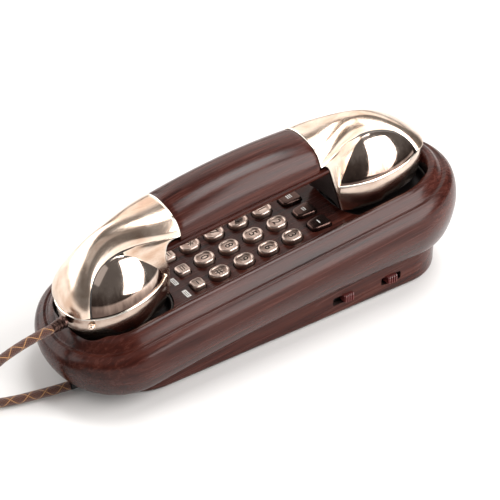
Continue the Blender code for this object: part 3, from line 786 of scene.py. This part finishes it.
def make_tie():
    """A soft strap round the bundle of turns."""
    angle = math.radians(200)
    out = Vector((math.cos(angle), math.sin(angle), 0))
    along = Vector((-math.sin(angle), math.cos(angle), 0))
    centre = table(COIL_X, COIL_Y, COIL_BASE_Z + 1.5 * CORD_DIAMETER) + out * COIL_RADII[1] * MM
    outline = rectangle(0, 0, 13.6, 16.4, 3.0, 6)
    inner = rectangle(0, 0, 12.4, 15.4, 2.6, 6)
    rings = []
    for shift, profile in ((-3.0, inner), (-3.2, outline), (3.2, outline), (3.0, inner)):
        middle = centre + along * shift * MM
        rings.append([middle + (out * px + Vector((0, 0, py))) * MM for px, py in profile])
    rings.append(rings[0])
    tie = loft("cord_tie", rings, RUBBER, 60.0, ends=False)
    return place(tie, "base", "rubber")


cord, cord_line = make_cord()
tie = make_tie()


# ---------------------------------------------------------------- hull


def depth_factor(x):
    along = max(x, -70.0)
    return 1.0 + 0.0008 * along + 0.0000234 * along * along


def hull_z(x, z):
    """Height of the hull's side at x for a level z given at the middle of the deck."""
    if z > -1.4:
        return z - bend(x)
    share = (z + 1.3) / (RIM_Z + 1.3)
    return -1.3 + (z + 1.3) * depth_factor(x) - bend(x) * (1 - share)


def hull_profile():
    """(outward growth, height) from the sunken deck over the rolled ridge to the rim."""
    ridge = ((-12.5, -2.5), (-11.9, -2.3), (-11.2, -1.5), (-10.5, -0.1), (-9.8, 1.3))
    ridge += ((-8.6, 3.0), (-7.0, 3.7), (-5.2, 3.1), (-3.8, 1.7), (-2.7, 0.2), (-1.9, -0.95))
    ledge = ((-1.6, -1.22), (-1.2, -1.32), (-0.35, -1.25), (0.1, -1.28), (0.5, -1.5))
    side = ((1.6, -2.1), (2.7, -3.0), (3.6, -4.1), (4.5, -6.4), (4.9, -9.5), (4.75, -12.0), (4.3, -14.5))
    side += ((3.5, -17.2), (2.6, -19.6), (1.6, -21.8), (0.6, -23.6), (-0.5, -25.0), (-1.1, -25.45))
    knots = [(x, z, 0.0) for x, z in (*ridge, *ledge, *side, (-1.7, RIM_Z))]
    return [(spot.x, spot.y) for spot in curve_through(knots, 3)]


def hull_ring(grow, z):
    return [deck(x, y, hull_z(x, z)) for x, y in ring_of(half_oval(**EDGE, grow=grow))]


def deck_ring(grow, z):
    return [deck(x, y, z - bend(x)) for x, y in ring_of(half_oval(**EDGE, grow=grow))]


def well_ring(middle, grow):
    reach = WELL_HALF_LENGTH - 12
    return ring_of(half_oval(middle - reach, middle + reach, 12, 12, WELL_HALF_WIDTH, grow, 2.6, 4, 16))


def make_hull(keys):
    rings = []
    for grow, z in hull_profile():
        rings.append(hull_ring(grow, z) if z <= -1.4 and grow > -2 else deck_ring(grow, z))
    inner_side = ((-3.4, RIM_Z), (-3.6, -24.8), (-3.4, -22.5), (2.4, -13.0), (2.1, -8.0))
    rings += [hull_ring(grow, z) for grow, z in inner_side]
    rings += [deck_ring(grow, z) for grow, z in ((-0.4, -4.6), (-7.9, -2.2), (-10.5, DECK_Z - WALL))]
    hull = lofted_oval("hull", rings, WOOD, 38.0)
    cutters = []
    for name, middle in (("mouth", MOUTH_X), ("ear", EAR_X)):
        cutters.append(prism("cut_" + name, well_ring(middle, 0.0), -8.0, 9.0, INNER))
    for key in keys:
        outline = grown(key.outline(), key.x, key.y, 0.42)
        cutters.append(prism("cut_" + key.name, outline, DECK_Z - WALL - 1.0, DECK_Z + 2.0, INNER))
    return place(cut_with(hull, cutters, 38.0), "base", "wood_plastic", "base_upper_shell")


def rim_height(x, drop=0.0):
    """Height above the table of the hull's rim over the table's x."""
    along = x
    for _ in range(4):
        z = hull_z(along, RIM_Z - drop)
        along = (x + z * math.sin(TAU)) / math.cos(TAU)
    return along * math.sin(TAU) + z * math.cos(TAU) + KEY_PLANE


def foot_ring(grow, height):
    """A ring of the foot's oval; height is a level above the table, or a drop from the hull's rim."""
    outline = ring_of(half_oval(**FOOT, grow=grow))
    return [table(x, y, height(x) if callable(height) else height) for x, y in outline]


SCREW_PLACES = ((-46, -18), (-46, 18), (72, -16), (72, 16))
RUBBER_PLACES = ((-66, -15), (-66, 15), (86, -15), (86, 15))
SLIDE_SWITCHES = ((36.8, 39.6), (64.7, 64.9))  # the middle of each slot and of its knob at rest
SLOT_Z = 8.7


def side_prism(name, x, z, length, height, corner, y_low, y_high, look):
    """A rounded block that points along Y."""
    outline = rectangle(x, z, length, height, corner, 4)
    rings = [[table(px, y, pz) for px, pz in outline] for y in (y_low, y_high)]
    return loft(name, rings, look)


def end_cutter(name, outline, end_x):
    """A block along X through one end of the foot; its outline is (y, z)."""
    rings = [[table(x, y, z) for y, z in outline] for x in (end_x - 7, end_x + 7)]
    return loft(name, rings, INNER)


def make_foot():
    """The wedge foot, closed below the hull by its own flange."""
    flange = -1.5 - WALL - 0.3
    levels = ((-1.8, 0.0), (-1.2, 0.02), (-0.5, 0.35), (-0.1, 1.0), (0.0, 1.8))
    rings = [foot_ring(grow, FOOT_Z + height) for grow, height in levels]
    rings.append(foot_ring(0.15, lambda x: rim_height(x) - 0.7))
    rings.append(foot_ring(0.0, rim_height))
    for rise in (-0.2, 1.8):
        rings.append([point + Vector((0, 0, rise * MM)) for point in hull_ring(flange, RIM_Z)])
    rings.append(foot_ring(-WALL, lambda x: rim_height(x, -2.0)))
    rings.append(foot_ring(-WALL, FOOT_Z + WALL))
    foot = lofted_oval("foot", rings, WOOD, 38.0)
    wall = -FOOT["half_width"]
    cutters = []
    for slot_x, _ in SLIDE_SWITCHES:
        cutters.append(side_prism("slot", slot_x, SLOT_Z, 11.4, 4.4, 1.0, wall - 3, wall + 4.5, INNER))
    jack = rectangle(0, 8.5, 13.4, 10.4, 0.8, 3)
    cutters.append(end_cutter("jack", jack, FOOT["right"] + FOOT["right_axis"]))
    notch = rectangle(-5.0, 3.4, 6.4, 7.0, 2.9, 6)
    cutters.append(end_cutter("notch", notch, FOOT["left"] - FOOT["left_axis"]))
    for x in (-34.0, 48.0):
        turns = [math.radians(30 + 300 * step / 24) for step in range(25)]
        hole = [(x + 3.8 * math.cos(turn), 3.8 * math.sin(turn)) for turn in turns]
        hole += [(x + 9.0, -1.9), (x + 9.0, 1.9)]
        cutters.append(prism("keyhole", hole, -1, FOOT_Z + WALL + 1, INNER, table))
    for x, y in SCREW_PLACES:
        cutters.append(prism("screw_hole", circle(x, y, 3.1), -1, FOOT_Z + WALL - 0.8, INNER, table))
    return place(cut_with(foot, cutters, 38.0), "base", "wood_plastic", "base_lower_shell")


def make_well(name, middle, floor, node):
    """A dish that lines one of the two openings, with a rounded lip."""
    inside = ((-5.0, 0.0), (-3.6, 0.15), (-2.6, 0.7), (-2.0, 1.7), (-1.75, 3.0))
    lip = ((-1.6, -1.4), (-1.45, -0.8), (-1.1, -0.55), (-0.6, -0.55), (-0.3, -0.8))
    outside = ((-0.3, 1.0), (-2.0, -1.0), (-5.0, -1.5))
    levels = []
    for base, part in ((floor, inside), (DECK_Z, lip), (floor, outside)):
        levels += [(grow, base + z) for grow, z in part]
    rings = [[deck(x, y, z - bend(x)) for x, y in well_ring(middle, grow)] for grow, z in levels]
    well = lofted_oval(name, rings, DARK, 50.0)
    if middle > 0:
        cut_with(well, [prism("slot", rectangle(EAR_X, 0, 5.6, 9.6, 0.8), -20, 0, INNER)], 50.0)
    return place(well, "base", "dark_plastic", node)


# ---------------------------------------------------------------- keys


def grown(outline, x, y, amount):
    """The outline moved outwards by about `amount` from its middle."""
    reach_x = max(px for px, _ in outline) - x
    reach_y = max(py for _, py in outline) - y
    ratio_x = 1 + amount / reach_x
    ratio_y = 1 + amount / reach_y
    return [(x + (px - x) * ratio_x, y + (py - y) * ratio_y) for px, py in outline]


class Key:
    def __init__(self, name, x, y, kind, top, mark):
        self.name = name
        self.x = x
        self.y = y
        self.kind = kind
        self.top = top
        self.mark = mark

    def outline(self):
        if self.kind == "oval":
            half = half_oval(-1.1, 1.1, 3.8, 3.8, 4.0, 0.0, 2.0, 2, 9)
            return [(self.x + x, self.y + y) for x, y in ring_of(half)]
        if self.kind == "square":
            return rectangle(self.x, self.y, 6.2, 6.2, 1.4)
        points = []
        for px, py in rectangle(0, 0, 10.0, 8.6, 2.2):
            points.append((self.x + px, self.y + py * (0.92 + 0.12 * px / 5.0)))
        return points


def key_layout():
    digits = (("hash", "9", "6", "3"), ("0", "8", "5", "2"), ("star", "7", "4", "1"))
    signs = {"hash": "#", "star": "*"}
    keys = []
    for column, names in enumerate(digits):
        for row, digit in enumerate(names):
            x, sign = KEY_FIRST_X + KEY_PITCH_X * row, signs.get(digit, digit)
            keys.append(Key("key_" + digit, x, KEY_PITCH_Y * (column - 1), "oval", 0.0, sign))
    for column, word in enumerate(("redial", "flash", "mute")):
        keys.append(Key("key_" + word, FUNCTION_X, KEY_PITCH_Y * (column - 1), "square", -0.4, column + 1))
    for column in range(3):
        name = "key_memory_" + str(column + 1)
        keys.append(Key(name, MEMORY_X, MEMORY_PITCH_Y * (column - 1), "memory", -0.6, column + 1))
    return keys


def glyph(key, low, high):
    """The key's digit as a solid; it reads with the earpiece end up."""
    curve = bpy.data.curves.new("glyph", "FONT")
    curve.body = key.mark
    curve.size = 5.6 if key.mark != "*" else 7.5
    curve.align_x = "CENTER"
    curve.align_y = "CENTER"
    curve.extrude = (high - low) / 2
    curve.offset = 0.06
    curve.resolution_u = 4
    text = linked("glyph", curve)
    bpy.context.view_layer.update()
    mesh = bpy.data.meshes.new_from_object(text.evaluated_get(bpy.context.evaluated_depsgraph_get()))
    bpy.data.objects.remove(text, do_unlink=True)
    middle = (low + high) / 2
    down = 0.9 if key.mark == "*" else 0.0
    for vertex in mesh.vertices:
        x, y, z = vertex.co
        vertex.co = deck(key.x + y - down, key.y - x, z + middle)
    mesh.update()
    mesh.materials.clear()
    mesh.materials.append(ENGRAVING)
    return linked("glyph", mesh)


def small_bar(x, y, length, width, low, high, look):
    return prism("bar", rectangle(x, y, length, width, min(length, width) * 0.3, 3), low, high, look)


def bars_for(key, length, width, pitch, low, high, look):
    """As many parallel bars as the key's number, a mark without any meaning."""
    bars = []
    for index in range(key.mark):
        shift = (index - (key.mark - 1) / 2) * pitch
        bars.append(small_bar(key.x + shift, key.y, width, length, low, high, look))
    return bars


def key_rings(key, levels):
    shape = key.outline()
    return [[deck(x, y, key.top + z) for x, y in grown(shape, key.x, key.y, grow)] for grow, z in levels]


def make_oval_key(key):
    """Raised rim, sunken field, and the digit cut into the field."""
    levels = ((0.9, -6.0), (0.9, -5.0), (0.0, -5.0), (0.0, -0.95))
    levels += ((-0.10, -0.45), (-0.32, -0.14), (-0.62, 0.0))
    levels += ((-0.9, -0.03), (-1.12, -0.16), (-1.26, -0.36), (-1.45, -0.42))
    body = lofted_oval(key.name + "_cap", key_rings(key, levels), KEY, 50.0)
    return cut_with(body, [glyph(key, -0.85, 0.5)], 40.0)


def make_square_key(key):
    levels = ((0.9, -5.6), (0.9, -4.6), (0.0, -4.6), (0.0, -0.75))
    levels += ((-0.15, -0.3), (-0.45, -0.05), (-0.8, 0.0))
    levels += ((-1.0, -0.08), (-1.2, -0.14))
    body = loft(key.name + "_cap", key_rings(key, levels), KEY, 50.0)
    bars = bars_for(key, 2.9, 0.5, 1.15, key.top - 0.45, key.top + 0.5, ENGRAVING)
    return cut_with(body, bars, 40.0)


def make_memory_key(key):
    levels = ((0.9, -5.4), (0.9, -4.4), (0.0, -4.4), (0.0, -0.8))
    levels += ((-0.12, -0.35), (-0.4, -0.08), (-0.8, 0.0))
    levels += ((-1.6, 0.04), (-2.6, 0.06))
    body = loft(key.name + "_body", key_rings(key, levels), MEMORY_KEY, 50.0)
    ink = bars_for(key, 2.6, 0.55, 1.0, key.top + 0.02, key.top + 0.12, WHITE_INK)
    return join(key.name + "_cap", [body, *ink])


def make_keys(keys):
    makers = {"oval": make_oval_key, "square": make_square_key, "memory": make_memory_key}
    for key in keys:
        slot = "memory_key_metal" if key.kind == "memory" else "key_metal"
        place(makers[key.kind](key), key.name, slot, key.name)


def make_labels():
    """Printed paper labels beside the function keys, with marks that say nothing."""
    for number, (x, y) in enumerate(((-40.3, -13.9), (-40.3, -3.6), (-40.3, 8.6))):
        top = DECK_Z + 0.12
        plate = prism("plate", rectangle(x, y, 2.2, 5.2, 0.4), DECK_Z - 0.1, top, WHITE_INK)
        bars = [small_bar(x + s, y, 0.25, 3.6, top - 0.02, top + 0.03, DARK_INK) for s in (-0.45, 0.35)]
        place(join("label_" + str(number + 1), [plate, *bars]), "base", "wood_plastic")


# ---------------------------------------------------------------- grip


def grip_shape(x):
    """Middle height and half height of the grip's cross-section."""
    share = (x + 2.7) / 38.0
    return GRIP_MIDDLE_Z - 1.0 * share * share, GRIP_HALF_HEIGHT - 1.9 * share * share


def grip_point(x, degrees, inset):
    middle, half_height = grip_shape(x)
    turn = math.radians(degrees)
    power = SECTION_POWER if math.sin(turn) > 0 else 0.62  # squarer below
    wide = signed_power(math.cos(turn), power)
    tall = signed_power(math.sin(turn), power)
    return deck(x, (GRIP_HALF_WIDTH - inset) * wide, middle + (half_height - inset) * tall)


def make_grip_half(name, start, stop, left, right, node):
    """Half of the hollow grip: a bent plate with rounded edges along the parting line."""
    steps = 72
    around = 56
    rings = []
    for step in range(steps + 1):
        x = left + (right - left) * step / steps
        near_end = min(step, steps - step)
        lip = (0.35, 0.1, 0.0)[near_end] if near_end < 3 else 0.0
        ring = []
        for k in range(around):
            share = k / (around - 1)
            edge = min(share, 1 - share) * (around - 1)
            rounding = (0.45, 0.12, 0.0)[int(edge)] if edge < 3 else 0.0
            ring.append(grip_point(x, start + (stop - start) * share, lip + rounding))
        for k in range(around):
            ring.append(grip_point(x, stop + (start - stop) * k / (around - 1), 2.0))
        rings.append(ring)
    return place(loft(name, rings, WOOD, 40.0), "handset", "wood_plastic", node)


# ---------------------------------------------------------------- caps


class Cap:
    """One metal cap. u runs along the handset from its middle outwards."""

    inner_axis = 29.0

    def __init__(self, **sizes):
        for name, value in sizes.items():
            setattr(self, name, value)
        self.seam_z, half_height = grip_shape(self.side * self.seam)
        self.seam_top = self.seam_z + half_height

    def spot(self, u, y, z):
        x = self.side * u
        return deck(x, y, z - bend(x))

    def outline(self, count=48):
        """Plan (u, y) of the ring between dome and skirt, open at the flat inner side."""
        points = []
        outer = self.end - self.centre
        reach = (self.centre - self.inner) / self.inner_axis
        last = math.acos(-reach)
        for step in range(count + 1):
            turn = last * (2 * step / count - 1)
            outward = math.cos(turn) > 0
            power = 2.1 if outward else 2.0
            axis = outer if outward else self.inner_axis
            along = signed_power(math.cos(turn), 2 / power)
            wide = signed_power(math.sin(turn), 2 / power)
            points.append((self.centre + axis * along, -self.half_width * wide))
        return points


def make_dome(cap):
    """The polished ball that swells out on both sides from under the hood."""
    outline = cap.outline()
    levels = 24
    fullness = 2 / cap.fullness
    rings = []
    middle = cap.centre
    for level in range(-4, levels):
        rise = math.pi / 2 * max(level, 0) / levels
        below = min(level, 0)
        shrink = 0.985 * (math.cos(rise) ** fullness + 0.012 * below)
        z = cap.ring_z + cap.ball_rise * math.sin(rise) ** fullness + 0.9 * below
        rings.append([cap.spot(middle + (u - middle) * shrink, y * shrink, z) for u, y in outline])
    return place(loft(cap.name + "_dome", rings, BALL, 60.0), "handset", "cap_metal")


HOOD_STEPS = 8  # sections between two stations of the hood
GAP_START = 22  # the section where the hood first meets the ball
NECK_STATIONS = 4  # stations of the hood over the neck


def hood_sections(rows):
    """Smooth (edge u, edge y, edge z) and (ridge u, 0, ridge z) for each station of the hood."""
    edges = evened(curve_through([row[:3] for row in rows], HOOD_STEPS))
    ridges = evened(curve_through([(row[3], 0.0, row[4]) for row in rows], HOOD_STEPS))
    return list(zip(edges, ridges))


def make_hood(cap, rows):
    """The band that carries the grip's line over the dome and down its outer end."""
    sections = hood_sections(rows)
    steps = 40
    rings = []
    for index, (edge, ridge) in enumerate(sections):
        proud = ease(index / len(sections) * 2.6)
        hem = []
        for inset in (1.0, 0.45):
            hem.append((edge.x - 0.2 * proud, edge.y - inset * proud - 0.05, edge.z - 0.25 * proud))
        ring = [cap.spot(*spot) for spot in hem]
        for step in range(steps + 1):
            turn = math.pi * step / steps
            rise = math.sin(turn) ** SECTION_POWER
            across = signed_power(math.cos(turn), SECTION_POWER)
            spot = edge.lerp(ridge, rise)
            ring.append(cap.spot(spot.x, edge.y * across, spot.z))
        ring += [cap.spot(u, -y, z) for u, y, z in reversed(hem)]
        rings.append(ring)
    hood = loft(cap.name + "_hood", rings, CAP, 50.0, ends=False, closed=False)
    thicken(hood, 0.0006)
    return place(hood, "handset", "cap_metal", cap.name + "_cap")


def make_shadow_gap(cap, rows):
    """A thin dark tube laid where the hood meets the dome: a painted shadow in the seam."""
    sections = hood_sections(rows)
    pieces = []
    for mirror in (1, -1):
        line = [cap.spot(e.x - 0.15, mirror * (e.y + 0.05), e.z - 0.5) for e, _ in sections[GAP_START:]]
        thick = [0.12 + 0.30 * ease(step / 10) for step in range(len(line))]
        pieces.append(tube("gap", line, thick, DARK, 8))
    return place(join(cap.name + "_gap", pieces), "handset", "dark_plastic")


def make_web(cap, rows, lip):
    """The neck's two side walls, from the hood's edge down to the cup."""
    sections = hood_sections(rows)
    count = 24
    top = []
    last = NECK_STATIONS * HOOD_STEPS
    for step in range(count + 1):
        along = last * step / count
        low = int(along)
        edge = sections[low][0].lerp(sections[min(low + 1, last)][0], along - low)
        top.append(Vector((edge.x, edge.y - 0.25, edge.z - 0.1)))
    left = curve_through(lip, 6)
    right_top = top[-1]
    right_foot = Vector((cap.centre - 8.0, cap.half_width * 0.6, cap.ring_z - 6.0))
    down = len(left) - 1
    pieces = []
    for mirror in (1, -1):
        rings = []
        for t_step in range(down + 1):
            t = t_step / down
            row = []
            right = right_top.lerp(right_foot, t)
            for s_step in range(count + 1):
                s = s_step / count
                bottom = left[-1].lerp(right_foot, s)
                flat = left[t_step].lerp(right, s) + top[s_step].lerp(bottom, t)
                corner = top[0].lerp(top[-1], s).lerp(bottom, t)
                spot = flat - corner
                row.append(cap.spot(spot.x, mirror * spot.y, spot.z))
            rings.append(row)
        pieces.append(loft("wall", rings, CAP, 60.0, ends=False, closed=False))
    web = join(cap.name + "_neck", pieces)
    thicken(web, 0.0005, 0.0)
    return place(web, "handset", "cap_metal")


def make_throat(cap, lip):
    """The dark inner face between the neck's two walls, and the roof above it."""
    left = curve_through(lip, 6)
    rings = []
    for spot in left:
        ring = []
        for step in range(17):
            share = step / 8 - 1
            hollow = 1.6 * (1 - share * share)
            ring.append(cap.spot(spot.x + 0.5 + hollow, share * (spot.y - 0.4), spot.z))
        rings.append(ring)
    throat = loft(cap.name + "_throat", rings, INNER, 60.0, ends=False, closed=False)
    thicken(throat, 0.001)
    return place(throat, "handset", "dark_plastic")


def make_trim(cap, lip):
    """The bright bead along the seam and down both edges of the neck."""
    down = curve_through(lip, 6)
    line = [cap.spot(spot.x, spot.y, spot.z) for spot in reversed(down)]
    for step in range(1, 32):
        turn = math.pi * step / 32
        across = signed_power(math.cos(turn), SECTION_POWER)
        z = cap.seam_z + (cap.seam_top - cap.seam_z) * math.sin(turn) ** SECTION_POWER
        line.append(cap.spot(cap.seam, GRIP_HALF_WIDTH * across, z))
    line += [cap.spot(spot.x, -spot.y, spot.z) for spot in down]
    return place(tube(cap.name + "_seam_trim", line, 0.32, TRIM, 8), "handset", "cap_metal")


def make_ring(cap):
    line = [cap.spot(u, y, cap.ring_z) for u, y in cap.outline(96)]
    return place(tube(cap.name + "_ring", line, 0.5, TRIM, 12), "handset", "cap_metal")


def make_skirt(cap):
    """The cup's wall below the ring, drawn in towards a rolled lower edge."""
    drop = cap.ring_z - cap.skirt_z
    profile = [(0.3, 0.0), (0.7, 0.05), (0.75, 0.09), (0.3, 0.17), (0.15, 0.3), (0.45, 0.5), (1.1, 0.7)]
    profile += [(1.9, 0.86), (2.5, 0.95), (2.8, 0.985), (3.2, 1.0)]
    profile += [(3.7, 0.98), (3.9, 0.9), (3.5, 0.6), (2.4, 0.3)]
    rings = []
    for inset, share in profile:
        ring = []
        for u, y in cap.outline(96):
            along = (u - cap.centre) / (cap.end - cap.centre if u > cap.centre else cap.inner_axis)
            shrink = inset * (1.0 - 0.42 * max(0.0, along) ** 2)
            if u < cap.centre:
                shrink *= 0.7
            scale = 1 - shrink / math.hypot(u - cap.centre, y)
            narrowed = cap.centre + (u - cap.centre) * scale
            ring.append(cap.spot(narrowed, y * scale, cap.ring_z - drop * share))
        rings.append(ring)
    skirt = loft(cap.name + "_skirt", rings, SKIRT, 50.0, ends=False, closed=False)
    return place(skirt, "handset", "cap_metal")


def make_rivets(cap):
    """A small round stud on each side of the mouthpiece, just under its ring."""
    pieces = []
    for mirror in (1, -1):
        out = Vector((0.55 * cap.side, 0.83 * mirror, 0.0)).normalized()
        start = cap.spot(88.9, mirror * 15.3, 8.6)
        shape = ((-0.8, 1.75), (0.3, 1.75), (0.7, 1.6), (0.75, 1.25), (1.3, 1.15), (1.7, 0.8), (1.85, 0.3))
        profile = [(start + out * reach * MM, radius) for reach, radius in shape]
        pieces.append(turned("stud", profile, CAP, 20))
    return place(join(cap.name + "_studs", pieces), "handset", "cap_metal")


# The hood: its lower edge (u, half width, height) and its ridge (u, height).
MOUTH_HOOD = (
    (40.2, 15.0, 31.53, 40.2, 41.58),
    (46.0, 14.3, 32.4, 47.0, 41.3),
    (54.0, 11.6, 33.0, 56.0, 41.4),
    (60.0, 9.3, 33.0, 63.0, 41.1),
    (65.5, 8.0, 32.6, 68.5, 40.6),
    (71.4, 7.5, 31.9, 75.0, 39.0),
    (78.1, 8.3, 30.2, 82.5, 34.8),
    (82.9, 10.1, 26.9, 89.0, 28.0),
    (86.2, 12.6, 22.0, 93.4, 20.8),
    (88.3, 14.6, 16.8, 94.9, 16.2),
    (88.7, 15.2, 13.0, 95.1, 12.9),
)
EAR_HOOD = (
    (34.8, 15.0, 31.53, 34.8, 41.58),
    (41.0, 14.0, 32.6, 42.0, 41.9),
    (47.5, 11.2, 33.2, 49.0, 42.2),
    (55.0, 8.2, 33.0, 56.5, 42.0),
    (63.5, 6.4, 32.1, 65.0, 40.2),
    (71.8, 6.7, 30.7, 73.5, 36.6),
    (79.0, 8.3, 27.7, 81.0, 31.4),
    (83.2, 10.4, 24.6, 87.0, 26.8),
    (85.9, 12.4, 21.3, 91.8, 22.2),
    (87.3, 14.9, 17.6, 96.2, 17.8),
    (87.6, 15.9, 15.8, 97.7, 15.7),
)
# The neck's inner edge (u, half width, height), from the seam down to the cup's lower edge.
MOUTH_LIP = (
    (40.2, 15.0, 31.53),
    (43.5, 14.8, 31.6),
    (46.4, 14.5, 30.4),
    (47.8, 14.3, 27.4),
    (48.0, 14.1, 22.8),
    (47.4, 13.6, 16.6),
    (46.8, 12.4, 10.3),
    (46.9, 11.3, 4.0),
    (47.8, 10.4, -2.6),
)
EAR_LIP = (
    (34.8, 15.0, 31.53),
    (37.0, 14.8, 31.4),
    (39.2, 14.6, 29.0),
    (40.6, 14.4, 24.6),
    (41.9, 14.2, 18.4),
    (43.2, 14.1, 12.6),
    (44.6, 13.6, 6.6),
    (46.2, 12.8, 0.0),
)
# ring_z and skirt_z are the ball's foot and the cup's lower edge; fullness makes the ball rounder.
MOUTH = Cap(
    name="mouth",
    side=-1,
    seam=-GRIP_LEFT,
    inner=MOUTH_LIP[-2][0],
    end=95.2,
    ring_z=12.0,
    skirt_z=-2.8,
    centre=71.5,
    half_width=21.1,
    ball_rise=21.5,
    fullness=1.75,
)
EAR = Cap(
    name="ear",
    side=1,
    seam=GRIP_RIGHT,
    inner=EAR_LIP[-2][0],
    end=98.0,
    ring_z=14.8,
    skirt_z=-0.4,
    centre=66.0,
    half_width=20.5,
    ball_rise=18.0,
    fullness=1.5,
)


def make_caps():
    for cap, rows, lip in ((MOUTH, MOUTH_HOOD, MOUTH_LIP), (EAR, EAR_HOOD, EAR_LIP)):
        make_dome(cap)
        make_hood(cap, rows)
        make_shadow_gap(cap, rows)
        make_web(cap, rows, lip)
        make_throat(cap, lip)
        make_trim(cap, lip)
        make_ring(cap)
        make_skirt(cap)
    make_rivets(MOUTH)


def make_cord_ends():
    """The strain relief on the mouthpiece, and the gland in the foot."""
    relief = []
    shape = ((-95.6, 2.1), (-96.2, 2.1), (-96.3, 2.9), (-96.9, 3.0))
    shape += ((-97.5, 2.9), (-97.7, 2.45), (-98.2, 2.4))
    shape += ((-98.4, 2.75), (-98.9, 2.75), (-99.1, 2.4), (-99.6, 2.4), (-99.8, 2.65), (-100.3, 2.65))
    shape += ((-100.5, 2.35), (-101.5, 2.35), (-102.2, 2.3), (-102.6, 2.15))
    for x, radius in shape:
        drop = 38.5 - 1.05 * ease((-96.3 - x) / 6.0)
        relief.append((table(x, -4.0, drop), radius))
    sleeve = turned("cord_relief", relief, MEMORY_KEY)
    place(sleeve, "handset", "cap_metal", "handset_cord_relief")
    gland = []
    shape = ((-82.0, 2.6), (-84.8, 2.7), (-85.2, 2.45), (-86.6, 2.45), (-87.0, 2.75), (-88.0, 2.75))
    shape += ((-88.4, 2.45), (-89.2, 2.45), (-89.5, 2.6), (-90.1, 2.6), (-90.4, 2.4), (-91.1, 2.4), (-91.4, 2.5))
    shape += ((-92.0, 2.5), (-92.3, 2.3), (-93.5, 2.3), (-95.4, 2.25), (-96.2, 2.15))
    for x, radius in shape:
        share = ease((-82.0 - x) / 14.0)
        gland.append((table(x, -5.0 + 0.4 * share, 3.2 - 0.6 * share), radius))
    nut = turned("cord_gland", gland, RUBBER)
    place(nut, "base", "rubber", "base_cord_gland")
    return sleeve, nut


# ---------------------------------------------------------------- small parts


def make_slide_knobs():
    """Ribbed sliders in the two slots of the foot."""
    wall = -FOOT["half_width"]
    for number, (_, x) in enumerate(SLIDE_SWITCHES):
        outline = [(-2.7, 3.0), (-2.7, -1.2)]
        for rib in range(4):
            middle = -2.0 + 1.3 * rib
            outline += [(middle - 0.45, -1.2), (middle - 0.3, -1.85)]
            outline += [(middle + 0.3, -1.85), (middle + 0.45, -1.2)]
        outline += [(2.7, -1.2), (2.7, 3.0)]
        rings = []
        for z, inset in ((-1.9, 0.25), (-1.65, 0.0), (1.65, 0.0), (1.9, 0.25)):
            ring = [(x + px * (1 - inset / 4), wall + py + inset * (py < 0)) for px, py in outline]
            rings.append([table(px, py, SLOT_Z + z) for px, py in ring])
        name = "slide_knob_" + str(number + 1)
        place(loft(name + "_cap", rings, KNOB, 30.0), name, "knob_plastic", name)


def make_screws():
    """Pan heads with a cross recess, and the rubber feet beside them."""
    for number, (x, y) in enumerate(SCREW_PLACES):
        levels = ((1.6, 0.42), (2.3, 0.5), (2.65, 0.9), (2.7, 1.3), (2.7, 1.9), (1.2, 1.9), (1.2, 7.5))
        rings = [[table(px, py, z) for px, py in circle(x, y, radius)] for radius, z in levels]
        head = loft("screw", rings, STEEL, 40.0)
        cross = []
        for length, width in ((2.6, 0.6), (0.6, 2.6)):
            cross.append(prism("slot", rectangle(x, y, length, width, 0.15, 2), -0.5, 1.1, DARK, table))
        cut_with(head, cross[:1])
        cut_with(head, cross[1:])
        name = "base_screw_" + str(number + 1)
        head.name = name + "_head"
        place(head, "base", "steel", name)
    for number, (x, y) in enumerate(RUBBER_PLACES):
        levels = ((3.4, 0.12), (4.2, 0.0), (4.7, 0.06), (4.95, 0.25), (5.0, 0.5), (5.0, 0.79))
        rings = [[table(px, py, z) for px, py in circle(x, y, radius, 40)] for radius, z in levels]
        name = "rubber_foot_" + str(number + 1)
        place(loft(name + "_pad", rings, RUBBER, 40.0), "base", "rubber", name)


def dress_frame():
    """Materials and softened edges for the CAD pieces that stay as they are."""
    looks = {
        DARK: ("hook_plunger", "hook_switch", "slide_switch_1", "slide_switch_2", "line_jack"),
        RUBBER: ("keypad_mat",),
        BOARD: ("keypad_board", "main_board"),
        BRASS: ("ringer",),
        INNER: ("mouth_cover", "ear_cover"),
        STEEL: ("microphone", "receiver", "handset_weight", "grip_screw_1", "grip_screw_2"),
    }
    for name, look in [(name, look) for look, names in looks.items() for name in names]:
        node = frame["nodes"][name]
        node.data.materials.clear()
        node.data.materials.append(look)
        soften = node.modifiers.new("soft_edges", "BEVEL")
        soften.width = 0.00025
        soften.segments = 2
        soften.limit_method = "ANGLE"
        soften.angle_limit = math.radians(50)


# ---------------------------------------------------------------- assembly

keys = key_layout()
make_hull(keys)
make_foot()
make_well("mouth_dish", MOUTH_X, MOUTH_FLOOR, "mouth_well")
make_well("ear_dish", EAR_X, EAR_FLOOR, "ear_well")
make_keys(keys)
make_labels()
make_grip_half("grip_top", -13.0, 193.0, GRIP_LEFT + 0.35, GRIP_RIGHT - 0.35, "grip_upper_shell")
make_grip_half("grip_bottom", 194.5, 345.5, -47.0, 41.5, "grip_lower_shell")
make_caps()
sleeve, nut = make_cord_ends()
make_slide_knobs()
make_screws()
dress_frame()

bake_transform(cord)
